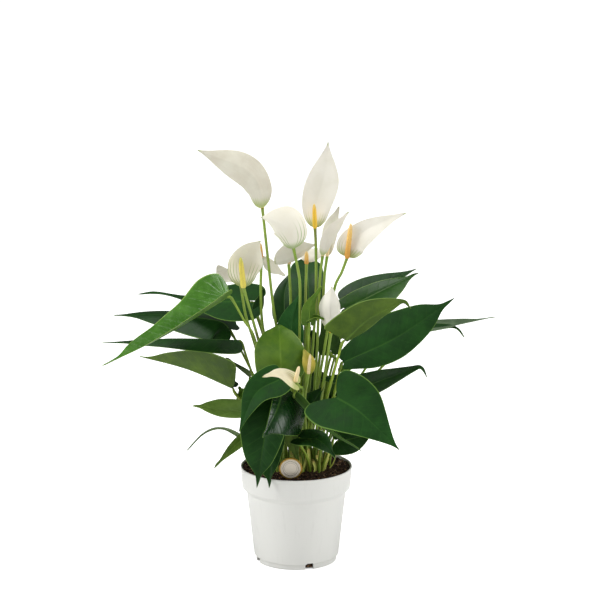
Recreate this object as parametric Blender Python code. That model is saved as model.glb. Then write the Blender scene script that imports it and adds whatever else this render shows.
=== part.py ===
"""Potted anthurium in a nursery pot.

The pot stands on the ground plane with the centre of its base at the origin. +Z is up and the front of
the plant faces -Y. Sizes and places in the tables below are millimetres; MM turns them into metres.
"""
import math

import bmesh
import bpy
from mathutils import Vector

MM = 0.001
GAP = 0.3

# Pot
RIM_RADIUS = 60.0
POT_HEIGHT = 105.0
WALL = 1.4
FLOOR = 1.6
BAND_BOTTOM_RADIUS = 58.6
BAND_BOTTOM = 82.5
STEP_BOTTOM = 77.5
WALL_TOP_RADIUS = 53.6
WALL_BOTTOM_RADIUS = 45.6
FOOT_HEIGHT = 5.5
FOOT_RADIUS = 43.3
POT_SEGMENTS = 48
DRAIN_SLOTS = 4
DRAIN_FIRST_ANGLE = 19.0
DRAIN_WIDTH = 10.0
DRAIN_HEIGHT = 7.5

# Soil
SOIL_TOP = 104.0
SOIL_EDGE = 101.0
SOIL_FLAT_RADIUS = 46.0

# Plant label
LABEL_RADIUS = 12.5
LABEL_THICKNESS = 1.6
LABEL_PICK_WIDTH = 5.0
LABEL_PICK_LENGTH = 47.0
LABEL_CENTRE = (-6.0, -48.2, 115.6)
LABEL_LEAN = 8.0

# Blades and stems
LEAF_THICKNESS = 0.9
SPATHE_THICKNESS = 0.9
SINUS_HALF_WIDTH = 1.8
PETIOLE_RADIUS = 1.5
STALK_RADIUS = 1.7
SPADIX_RADIUS = 2.4
STEM_FOOT = SOIL_TOP + GAP
OUTLINE_STEPS = 9
ACROSS_STEPS = 2
PETIOLE_RINGS = 7
PETIOLE_KNEE_STOPS = (2.0, 5.5, 9.5)
STALK_RINGS = 6
LONGEST_TANGENT = 1.8

# Half outlines from the sinus round the lobe to the drip tip: part of the length, part of the half width.
# Negative lengths are parts of the lobe's length behind the petiole.
HEART = ((-0.55, 0.14), (-1.0, 0.48), (-0.55, 0.88), (0.10, 1.0), (0.34, 0.85), (0.56, 0.55), (0.76, 0.25),
         (0.90, 0.07))
BROAD = ((-0.55, 0.14), (-1.0, 0.48), (-0.50, 0.86), (0.12, 1.0), (0.35, 1.0), (0.52, 0.88), (0.70, 0.56),
         (0.84, 0.20), (0.93, 0.05))
OVAL = ((-0.5, 0.18), (-0.5, 0.34), (0.10, 0.62), (0.22, 0.88), (0.36, 1.0), (0.50, 0.95), (0.72, 0.62),
        (0.86, 0.17), (0.93, 0.05))
ARROW = ((-0.55, 0.14), (-1.0, 0.48), (-0.55, 0.88), (0.10, 1.0), (0.27, 0.75), (0.40, 0.62), (0.54, 0.48),
         (0.67, 0.39), (0.78, 0.26), (0.87, 0.08))
SPATHE = ((0.005, 0.20), (0.03, 0.40), (0.10, 0.66), (0.24, 0.88), (0.42, 1.0), (0.58, 0.93), (0.72, 0.66),
          (0.84, 0.34), (0.94, 0.09))


def material(name, colour, roughness):
    """A Principled material with one colour."""
    made = bpy.data.materials.new(name)
    made.use_nodes = True
    shader = made.node_tree.nodes["Principled BSDF"]
    shader.inputs["Base Color"].default_value = (*colour, 1.0)
    shader.inputs["Roughness"].default_value = roughness
    shader.inputs["Metallic"].default_value = 0.0
    return made


def finish_object(name, mesh_builder, colour, roughness):
    """Turn a bmesh in millimetres into a named object in metres."""
    bmesh.ops.recalc_face_normals(mesh_builder, faces=mesh_builder.faces)
    bmesh.ops.scale(mesh_builder, vec=(MM, MM, MM), verts=mesh_builder.verts)
    mesh = bpy.data.meshes.new(name)
    mesh_builder.to_mesh(mesh)
    mesh_builder.free()
    mesh.shade_smooth()
    mesh.set_sharp_from_angle(angle=math.radians(40.0))
    mesh.materials.append(material(name, colour, roughness))
    made = bpy.data.objects.new(name, mesh)
    bpy.context.scene.collection.objects.link(made)
    return made


def curve_point(points, span, t):
    """A point of the smooth curve that passes through all the points. A short span never loops."""
    start = points[span]
    end = points[span + 1]
    before = points[span - 1] if span > 0 else start * 2.0 - end
    after = points[span + 2] if span + 2 < len(points) else end * 2.0 - start
    leaving = (end - before) * 0.5
    arriving = (after - start) * 0.5
    longest = (end - start).length * LONGEST_TANGENT
    for tangent in (leaving, arriving):
        if tangent.length > longest:
            tangent *= longest / tangent.length
    return (start * (2.0 * t ** 3 - 3.0 * t ** 2 + 1.0) + leaving * (t ** 3 - 2.0 * t ** 2 + t)
            + end * (3.0 * t ** 2 - 2.0 * t ** 3) + arriving * (t ** 3 - t ** 2))


class Path:
    """A smooth curve through points, read by length."""

    def __init__(self, points, steps=24):
        points = [Vector(point) for point in points]
        self.dense = [curve_point(points, span, step / steps)
                      for span in range(len(points) - 1) for step in range(steps)]
        self.dense.append(points[-1].copy())
        self.lengths = [0.0]
        for before, after in zip(self.dense, self.dense[1:]):
            self.lengths.append(self.lengths[-1] + (after - before).length)
        self.length = self.lengths[-1]

    def at(self, distance):
        """The point and the direction at a distance from the start."""
        last = len(self.dense) - 2
        index = 0
        while index < last and self.lengths[index + 1] < distance:
            index += 1
        start = self.dense[index]
        step = self.dense[index + 1] - start
        direction = step.normalized()
        return start + direction * (distance - self.lengths[index]), direction


def across(direction, up):
    """The part of up that is square to a direction, at unit length."""
    return (up - direction * up.dot(direction)).normalized()


class Blade:
    """A folded and curled sheet round a midrib: it turns flat places (along, side) into points."""

    def __init__(self, spine, face, face_tip, fold, curl, half_width):
        self.path = Path(spine)
        self.face = Vector(face).normalized()
        self.face_tip = Vector(face_tip).normalized()
        self.fold = fold
        self.curl = curl
        self.half_width = half_width

    def frame(self, along):
        """Centre, direction, upper-face normal and rightward direction at a length along the midrib."""
        share = min(max(along / self.path.length, 0.0), 1.0)
        centre, direction = self.path.at(min(max(along, 0.0), self.path.length))
        if along < 0.0:
            centre = centre + direction * along
        normal = across(direction, self.face.lerp(self.face_tip, share))
        return centre, direction, normal, direction.cross(normal)

    def point(self, along, side):
        """Surface point and normal at a distance along the midrib and a signed distance from it."""
        centre, _direction, normal, right = self.frame(along)
        share = min(max(along / self.path.length, 0.0), 1.0)
        fold = math.radians(self.fold[0] + (self.fold[1] - self.fold[0]) * share)
        curl = math.radians(self.curl) / self.half_width
        reach = abs(side)
        sign = 1.0 if side >= 0.0 else -1.0
        angle = fold + curl * reach
        if abs(curl) < 1e-6:
            out = reach * math.cos(fold)
            lift = reach * math.sin(fold)
        else:
            out = (math.sin(angle) - math.sin(fold)) / curl
            lift = (math.cos(fold) - math.cos(angle)) / curl
        place = centre + right * (sign * out) + normal * lift
        tilted = normal * math.cos(angle) - right * (sign * math.sin(angle))
        return place, (tilted if reach > 0.0 else normal)


def half_outline(shape, length, lobe, half_width):
    """Flat points, evenly spread, from the corner of the sinus round one lobe to the tip."""
    points = [Vector((0.0, SINUS_HALF_WIDTH, 0.0))]
    for along, side in shape:
        scale = lobe if along < 0.0 else length
        points.append(Vector((along * scale, max(side * half_width, SINUS_HALF_WIDTH), 0.0)))
    points.append(Vector((length, 0.0, 0.0)))
    outline = Path(points, 12)
    spread = [outline.at(outline.length * step / OUTLINE_STEPS)[0] for step in range(OUTLINE_STEPS + 1)]
    spread[0] = points[0]
    spread[-1] = points[-1]
    return spread


def add_blade(builder, blade, shape, lobe, widths, thickness):
    """Add a blade's two faces and its rim. Returns the open ring of vertices at the sinus.

    Rows run from the midrib to the outline. The rows of the lobe all start at the corner of the sinus.
    """
    length = blade.path.length
    last = OUTLINE_STEPS
    outlines = {-1: half_outline(shape, length, lobe, widths[0]),
                1: half_outline(shape, length, lobe, widths[1])}
    lobe_rows = max(index for index in range(last) if outlines[1][index].x <= 0.0)
    corners = {}
    borders = {}
    for layer in (1, -1):
        def vertex(along, side):
            place, normal = blade.point(along, side)
            return builder.verts.new(place + normal * (layer * thickness / 2.0))

        junction = vertex(0.0, 0.0)
        tip = vertex(length, 0.0)
        ribs = {index: length * (index - lobe_rows) / (last - lobe_rows)
                for index in range(lobe_rows + 1, last)}
        midrib = {index: vertex(rib, 0.0) for index, rib in ribs.items()}
        corners[(layer, 0)] = junction
        for sign in (-1, 1):
            corner = vertex(0.0, sign * SINUS_HALF_WIDTH)
            corners[(layer, sign)] = corner
            grid = [[corner] * (ACROSS_STEPS + 1)]
            for index in range(1, last):
                edge = outlines[sign][index]
                start = Vector((ribs[index], 0.0, 0.0)) if index > lobe_rows else outlines[sign][0]
                row = [midrib[index] if index > lobe_rows else corner]
                for step in range(1, ACROSS_STEPS + 1):
                    place = start.lerp(edge, step / ACROSS_STEPS)
                    row.append(vertex(place.x, sign * place.y))
                grid.append(row)
            grid.append([tip] * (ACROSS_STEPS + 1))
            if lobe_rows == 0:
                grid[0][0] = junction
            else:
                builder.faces.new((junction, corner, midrib[lobe_rows + 1]))
            first = min(lobe_rows, 1)
            for near, far in zip(grid[first:], grid[first + 1:]):
                for step in range(ACROSS_STEPS):
                    for face in ((near[step], near[step + 1], far[step + 1]),
                                 (near[step], far[step + 1], far[step])):
                        if len(set(face)) == 3:
                            builder.faces.new(face)
            start_row = grid[1] if lobe_rows > 0 else [corner, grid[1][-1]]
            borders[(layer, sign)] = start_row + [row[-1] for row in grid[2:]]
    for sign in (-1, 1):
        top = borders[(1, sign)]
        bottom = borders[(-1, sign)]
        for index in range(len(top) - 1):
            builder.faces.new([top[index], top[index + 1], bottom[index + 1], bottom[index]])
    return [corners[place] for place in ((1, -1), (1, 0), (1, 1), (-1, 1), (-1, 0), (-1, -1))]


def ring(builder, centre, normal, right, radius, count=6):
    """A ring of vertices, from the upper left round over the top."""
    made = []
    for index in range(count):
        angle = math.pi * (1.0 - (2.0 * index + 1.0) / count)
        made.append(builder.verts.new(centre + (right * math.cos(angle) + normal * math.sin(angle)) * radius))
    return made


def bridge(builder, first, second):
    """Join two rings of the same count with quads."""
    count = len(first)
    for index in range(count):
        after = (index + 1) % count
        builder.faces.new([first[index], first[after], second[after], second[index]])


def leaf(name, foot, spine, face, widths, shape=HEART, lobe=12.0, fold=(18.0, 8.0), curl=-12.0, stem=(),
         knee=(4.0, 4.0), face_tip=None, colour=(0.03, 0.10, 0.03)):
    """One leaf grown with its petiole: a blade from the junction to the tip, and a stem down to the soil."""
    builder = bmesh.new()
    blade = Blade(spine, face, face_tip or face, fold, curl, max(widths))
    open_ring = add_blade(builder, blade, shape, lobe, widths, LEAF_THICKNESS)
    centre, direction, normal, right = blade.frame(0.0)
    bend = centre - direction * knee[0] - normal * knee[1]
    ground = Vector((foot[0], foot[1], STEM_FOOT))
    rise = bend - ground
    guide = [centre, bend]
    if stem:
        guide += [Vector(point) for point in reversed(stem)]
    else:
        guide.append(ground + Vector((rise.x * 0.38, rise.y * 0.38, rise.z * 0.55)))
    guide += [ground + Vector((rise.x * 0.05, rise.y * 0.05, rise.z * 0.16)), ground]
    path = Path(guide)
    up = normal
    side = right
    before = open_ring
    below = path.length - PETIOLE_KNEE_STOPS[-1]
    stops = [*PETIOLE_KNEE_STOPS]
    stops += [PETIOLE_KNEE_STOPS[-1] + below * step / PETIOLE_RINGS for step in range(1, PETIOLE_RINGS + 1)]
    for stop in stops:
        place, heading = path.at(stop)
        up = across(heading, up)
        side = across(heading, side - up * side.dot(up))
        here = ring(builder, place, up, side, PETIOLE_RADIUS)
        if stop == stops[-1]:
            for vertex in here:
                vertex.co.z = STEM_FOOT
        bridge(builder, before, here)
        before = here
    builder.faces.new(before)
    return finish_object(name, builder, colour, 0.35)


def spathe(name, spine, face, widths, shape=SPATHE, lobe=0.0, fold=(12.0, 6.0), curl=0.0, face_tip=None):
    """The white bract behind a spadix: a thin closed sheet."""
    builder = bmesh.new()
    blade = Blade(spine, face, face_tip or face, fold, curl, max(widths))
    open_ring = add_blade(builder, blade, shape, lobe, widths, SPATHE_THICKNESS)
    builder.faces.new([open_ring[0], open_ring[1], open_ring[4], open_ring[5]])
    builder.faces.new([open_ring[1], open_ring[2], open_ring[3], open_ring[4]])
    return finish_object(name, builder, (0.80, 0.78, 0.70), 0.45)


def flower_stalk(name, foot, stem, base, spadix_tip, radius=STALK_RADIUS, spadix_radius=SPADIX_RADIUS):
    """A flower stalk that runs on into its spadix."""
    builder = bmesh.new()
    ground = Vector((foot[0], foot[1], STEM_FOOT))
    top = Vector(base)
    end = Vector(spadix_tip)
    rise = top - ground
    guide = [ground, ground + Vector((rise.x * 0.05, rise.y * 0.05, rise.z * 0.14))]
    guide += [Vector(point) for point in stem]
    guide.append(top)
    path = Path(guide)
    up = Vector((0.0, -1.0, 0.0))
    side = Vector((1.0, 0.0, 0.0))
    before = None
    sections = [(path.at(path.length * step / STALK_RINGS), radius) for step in range(STALK_RINGS + 1)]
    heading = (end - top).normalized()
    reach = (end - top).length
    for share, swell in ((0.12, 0.86), (0.35, 1.0), (0.70, 0.94), (0.90, 0.74), (0.985, 0.34)):
        sections.append(((top + heading * (reach * share), heading), spadix_radius * swell))
    for number, ((place, heading_here), size) in enumerate(sections):
        up = across(heading_here, up)
        side = across(heading_here, side - up * side.dot(up))
        here = ring(builder, place, up, side, size)
        if number == 0:
            for vertex in here:
                vertex.co.z = STEM_FOOT
            builder.faces.new(list(reversed(here)))
        else:
            bridge(builder, before, here)
        before = here
    builder.faces.new(before)
    return finish_object(name, builder, (0.25, 0.40, 0.06), 0.45)


def turned(name, profile, colour, roughness):
    """A round piece turned about the Z axis from a profile that starts and ends on the axis."""
    builder = bmesh.new()
    vertices = [builder.verts.new((radius, 0.0, height)) for radius, height in profile]
    edges = [builder.edges.new(pair) for pair in zip(vertices, vertices[1:])]
    bmesh.ops.spin(builder, geom=vertices + edges, cent=(0.0, 0.0, 0.0), axis=(0.0, 0.0, 1.0),
                   angle=math.tau, steps=POT_SEGMENTS, use_merge=True)
    bmesh.ops.remove_doubles(builder, verts=builder.verts, dist=0.01)
    return finish_object(name, builder, colour, roughness)


def cut(target, cutters):
    """Cut hidden solids out of an object."""
    for cutter in cutters:
        cutter.hide_render = True
        cutter.display_type = "WIRE"
        modifier = target.modifiers.new(cutter.name, "BOOLEAN")
        modifier.operation = "DIFFERENCE"
        modifier.solver = "EXACT"
        modifier.object = cutter


def make_pot():
    """The moulded pot, open at the top, with slots through the corner of its foot."""
    slope = (WALL_TOP_RADIUS - WALL_BOTTOM_RADIUS) / (STEP_BOTTOM - FOOT_HEIGHT)
    profile = [
        (0.0, 0.0), (FOOT_RADIUS - 0.8, 0.0), (FOOT_RADIUS, 0.8), (FOOT_RADIUS, FOOT_HEIGHT - 0.4),
        (WALL_BOTTOM_RADIUS, FOOT_HEIGHT + 0.8), (WALL_TOP_RADIUS, STEP_BOTTOM - 1.0),
        (WALL_TOP_RADIUS + 0.8, STEP_BOTTOM + 0.6), (BAND_BOTTOM_RADIUS - 0.4, BAND_BOTTOM - 0.6),
        (BAND_BOTTOM_RADIUS, BAND_BOTTOM + 0.6), (RIM_RADIUS, POT_HEIGHT - 0.9),
        (RIM_RADIUS - 0.3, POT_HEIGHT), (RIM_RADIUS - WALL + 0.2, POT_HEIGHT),
        (RIM_RADIUS - WALL, POT_HEIGHT - 0.6),
        (BAND_BOTTOM_RADIUS - WALL, BAND_BOTTOM + 1.6), (WALL_TOP_RADIUS - WALL, STEP_BOTTOM + 0.6),
        (FOOT_RADIUS - WALL + slope * 2.0, FOOT_HEIGHT + 2.4), (FOOT_RADIUS - WALL, FLOOR),
        (0.0, FLOOR),
    ]
    pot = turned("pot", profile, (0.82, 0.82, 0.81), 0.4)
    cutters = []
    for index in range(DRAIN_SLOTS):
        angle = math.radians(DRAIN_FIRST_ANGLE - 90.0 + 360.0 * index / DRAIN_SLOTS)
        builder = bmesh.new()
        bmesh.ops.create_cube(builder, size=1.0)
        bmesh.ops.scale(builder, vec=(14.0, DRAIN_WIDTH, DRAIN_HEIGHT + 2.0), verts=builder.verts)
        cutter = finish_object(f"drain_cutter_{index + 1}", builder, (0.5, 0.5, 0.5), 0.5)
        radius = WALL_BOTTOM_RADIUS - 0.5
        cutter.location = (radius * math.cos(angle) * MM, radius * math.sin(angle) * MM,
                           (DRAIN_HEIGHT / 2.0 - 1.0) * MM)
        cutter.rotation_euler = (0.0, 0.0, angle)
        cutters.append(cutter)
    cut(pot, cutters)
    return pot


def label_shape(name, grow):
    """The disc and its stick as one flat moulding, larger all round by grow."""
    builder = bmesh.new()
    radius = LABEL_RADIUS + grow
    half_pick = LABEL_PICK_WIDTH / 2.0 + grow
    start = math.asin(half_pick / radius)
    count = 32
    outline = []
    for index in range(count + 1):
        angle = start + (math.tau - 2.0 * start) * index / count - math.pi / 2.0
        outline.append((radius * math.cos(angle), radius * math.sin(angle)))
    outline += [(-half_pick, -LABEL_PICK_LENGTH + 4.0), (0.0, -LABEL_PICK_LENGTH - grow),
                (half_pick, -LABEL_PICK_LENGTH + 4.0)]
    half = LABEL_THICKNESS / 2.0 + grow
    front = [builder.verts.new((x, -half, z)) for x, z in outline]
    back = [builder.verts.new((x, half, z)) for x, z in outline]
    builder.faces.new(front)
    builder.faces.new(list(reversed(back)))
    bridge(builder, front, back)
    label = finish_object(name, builder, (0.75, 0.68, 0.52), 0.4)
    label.location = Vector(LABEL_CENTRE) * MM
    label.rotation_euler = (math.radians(LABEL_LEAN), 0.0, 0.0)
    return label


def make_soil():
    """The peat plug with its roots, which fills the pot, with a slit where the label's stick goes in."""
    clear = WALL + GAP
    profile = [
        (0.0, FLOOR + GAP), (FOOT_RADIUS - clear - 0.4, FLOOR + GAP),
        (FOOT_RADIUS - clear - 0.2, FOOT_HEIGHT + 2.0), (WALL_TOP_RADIUS - clear - 0.3, STEP_BOTTOM + 0.6),
        (BAND_BOTTOM_RADIUS - clear - 0.4, BAND_BOTTOM + 1.8), (RIM_RADIUS - clear - 0.5, SOIL_EDGE),
        (SOIL_FLAT_RADIUS + 6.0, (SOIL_TOP + SOIL_EDGE) / 2.0 + 0.6),
        (SOIL_FLAT_RADIUS, SOIL_TOP), (0.0, SOIL_TOP),
    ]
    soil = turned("soil", profile, (0.035, 0.022, 0.015), 0.95)
    cut(soil, [label_shape("label_cutter", GAP)])
    return soil


BRIGHT = (0.07, 0.22, 0.04)
OLIVE = (0.12, 0.22, 0.04)

# Each leaf: where its petiole leaves the soil, the midrib from the junction to the tip, the way its upper
# face looks, and the half widths to the left and right of the midrib seen from above with the tip ahead.
LEAVES = {
    "leaf_bright_left": dict(
        foot=(-17, -6), spine=((-74, -22, 297), (-140, -36, 259), (-206, -46, 228)), face=(-0.3, -0.2, 0.95),
        shape=ARROW, widths=(38, 38), lobe=8, fold=(32, 24), curl=0, stem=((-44, -12, 248), (-55, -16, 269)),
        colour=BRIGHT),
    "leaf_dark_left_upper": dict(
        foot=(-19, 10), spine=((-80, 42, 254), (-141, 51, 259), (-198, 57, 258)), face=(0, 0, 1),
        widths=(33, 33), lobe=16, fold=(6, 4), stem=((-38, 22, 180), (-64, 43, 230))),
    "leaf_dark_left_long": dict(
        foot=(-18, 2), spine=((-62, 2, 239), (-133, -4, 241), (-208, 2, 241)), face=(0, -0.05, 1),
        shape=BROAD, widths=(33, 33), lobe=15, fold=(4, 2), stem=((-47, 0, 206),)),
    "leaf_olive_left": dict(
        foot=(-24, 2), spine=((-68, 5, 190), (-117, 25, 206), (-170, 45, 215)), face=(0.1, 0.36, 0.93),
        widths=(40, 40), lobe=5, fold=(40, 30), curl=0, colour=OLIVE),
    "leaf_small_left": dict(
        foot=(-24, -14), spine=((-56, -18, 170), (-82, -22, 173), (-111, -26, 179)), face=(0, -0.4, 0.9),
        widths=(15, 15), lobe=8, colour=OLIVE),
    "leaf_thin_left": dict(
        foot=(-22, -6), spine=((-61, 5, 135), (-80, 0, 146), (-99, -4, 142), (-118, -8, 124)),
        face=(0, 0.28, 0.96), widths=(9, 9), lobe=5, colour=OLIVE),
    "leaf_low_left": dict(
        foot=(-20, -22), spine=((-56, -18, 141), (-71, -26, 129), (-88, -34, 112)), face=(-0.4, -0.5, 0.7),
        widths=(11, 7), lobe=6, colour=OLIVE),
    "leaf_light_centre": dict(
        foot=(-2, -14), spine=((-16, -24, 211), (-17, -30, 243), (-18, -22, 265), (-17, -4, 261)),
        face=(0, -1, 0.1), face_tip=(0, 0.5, 1), widths=(28, 26), lobe=8, fold=(10, -22), knee=(8, 0),
        colour=BRIGHT),
    "leaf_front_left_upper": dict(
        foot=(1, -22), spine=((-13, -40, 211), (-43, -52, 199), (-61, -62, 160)), face=(-0.35, -0.8, 0.5),
        widths=(22, 20), lobe=9, stem=((-4, -22, 190), (-6, -28, 203))),
    "leaf_front_left_low": dict(
        foot=(-13, -22), spine=((-23, -30, 198), (-32, -56, 161), (-42, -70, 100)), face=(-0.1, -0.95, 0.3),
        shape=OVAL, widths=(21, 28), lobe=4, stem=((-11, -23, 160), (-15, -24, 190))),
    "leaf_front_behind": dict(
        foot=(-16, -14), spine=((-22, -24, 183), (-26, -44, 135), (-29, -60, 97)), face=(-0.1, -0.9, 0.4),
        shape=OVAL, widths=(14, 34), lobe=4, stem=((-18.5, -12, 168),), knee=(4, 8)),
    "leaf_front_glossy": dict(
        foot=(-6, -22), spine=((-14, -35, 200), (-22, -66, 183), (-35, -88, 161)), face=(0.5, -0.7, 0.5),
        shape=BROAD, widths=(42, 7), lobe=2, fold=(4, 2), stem=((-5, -27, 160), (-9, -31, 190))),
    "leaf_front_edge": dict(
        foot=(8, -22), spine=((-1, -46, 193), (30, -57, 163), (69, -80, 145)), face=(0.3, 0.35, 0.85),
        widths=(14, 11), lobe=3, fold=(40, 28), stem=((1.3, -25.6, 180), (0.8, -28.4, 191), (-2, -36, 197))),
    "leaf_front_right": dict(
        foot=(24, -22), spine=((42, -54, 196), (69, -76, 184), (109, -98, 150)), face=(0.15, -0.8, 0.55),
        widths=(37, 31), lobe=15, fold=(6, 4)),
    "leaf_right_big": dict(
        foot=(30, -6), spine=((50, -20, 225), (108, -34, 257), (168, -42, 302)), face=(0.1, -0.85, 0.5),
        shape=OVAL, widths=(29, 30), lobe=4, fold=(4, 2)),
    "leaf_right_olive": dict(
        foot=(20, -14), spine=((52, -45, 256), (78, -55, 283), (110, -58, 300), (121, -58, 294)),
        face=(-0.3, 0.75, 0.6), shape=BROAD, widths=(15, 34), lobe=16, fold=(8, 4),
        stem=((33, -30, 189), (37, -33, 205), (45, -40, 238)), knee=(5, 0), colour=OLIVE),
    "leaf_right_upper_front": dict(
        foot=(20, 18), spine=((52, 22, 273), (95, 34, 292), (132, 44, 308)), face=(0, -0.5, 0.85),
        shape=BROAD, widths=(14, 26), lobe=10),
    "leaf_right_upper_back": dict(
        foot=(13, 18), spine=((60, 52, 272), (91, 68, 288), (131, 84, 303)), face=(-0.2, -0.6, 0.8),
        widths=(22, 20), lobe=8),
    "leaf_far_right": dict(
        foot=(30, 10), spine=((103, 25, 246), (155, 40, 248), (215, 50, 258)), face=(0, -0.1, 1),
        shape=BROAD, widths=(29, 29), lobe=14),
    "leaf_right_middle": dict(
        foot=(36, 2), spine=((58, 0, 187), (95, 3, 200), (125, 5, 211), (134, 6, 212), (141, 6, 201)),
        face=(0, -0.5, 0.85), widths=(16, 16), lobe=10),
    "leaf_low_front": dict(
        foot=(15, -22), spine=((1, -38, 144), (23, -51, 144), (44, -60, 121)), face=(0.2, -0.5, 0.85),
        shape=BROAD, widths=(13, 17), lobe=6),
    "leaf_low_right": dict(
        foot=(28, -14), spine=((45, -14, 136), (64, -23, 142), (85, -32, 150)), face=(0, -0.8, 0.6),
        shape=BROAD, widths=(18, 19), lobe=6),
    "leaf_blue_centre": dict(
        foot=(1, 3), spine=((-6, 4, 243), (-3, 10, 268), (4, 12, 294)), face=(0.4, 1, 0.3),
        widths=(14, 20), lobe=8, fold=(12, 6), knee=(8, 0)),
    "leaf_back_tall": dict(
        foot=(4, 18), spine=((14, 40, 265), (13, 66, 294), (12, 100, 306)), face=(0, -0.6, 0.8),
        widths=(20, 17), lobe=12),
    "leaf_back_left_tall": dict(
        foot=(-4, 18), spine=((-13, 52, 258), (-12, 74, 282), (0, 98, 303)), face=(0, -0.6, 0.8),
        widths=(14, 20), lobe=10),
    "leaf_back_left": dict(
        foot=(-7, 10), spine=((-50, 34, 278), (-105, 46, 276), (-145, 52, 283), (-172, 56, 281)),
        face=(0, -0.6, 0.8), widths=(27, 27), lobe=18, fold=(4, 2)),
    "leaf_light_small": dict(
        foot=(6, -6), spine=((14, -12, 267), (15, -12, 285), (27, -8, 306)), face=(-0.2, 1, 0.2),
        widths=(8, 9), lobe=4, knee=(6, 0), colour=BRIGHT),
    "leaf_inner_right": dict(
        foot=(27, 2), spine=((36, 6, 231), (34, 9, 250), (28, 12, 272)), face=(0.1, 1, 0.2),
        widths=(13, 13), lobe=5, fold=(10, 6), stem=((33, 0, 183), (39, 3, 205), (43, 5, 222)), knee=(5, 0)),
    "leaf_rear": dict(
        foot=(-12, 18), spine=((-8, 54, 190), (-14, 100, 194), (-24, 138, 158)), face=(0, 0.2, 1),
        widths=(34, 34), lobe=14),
}

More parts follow.
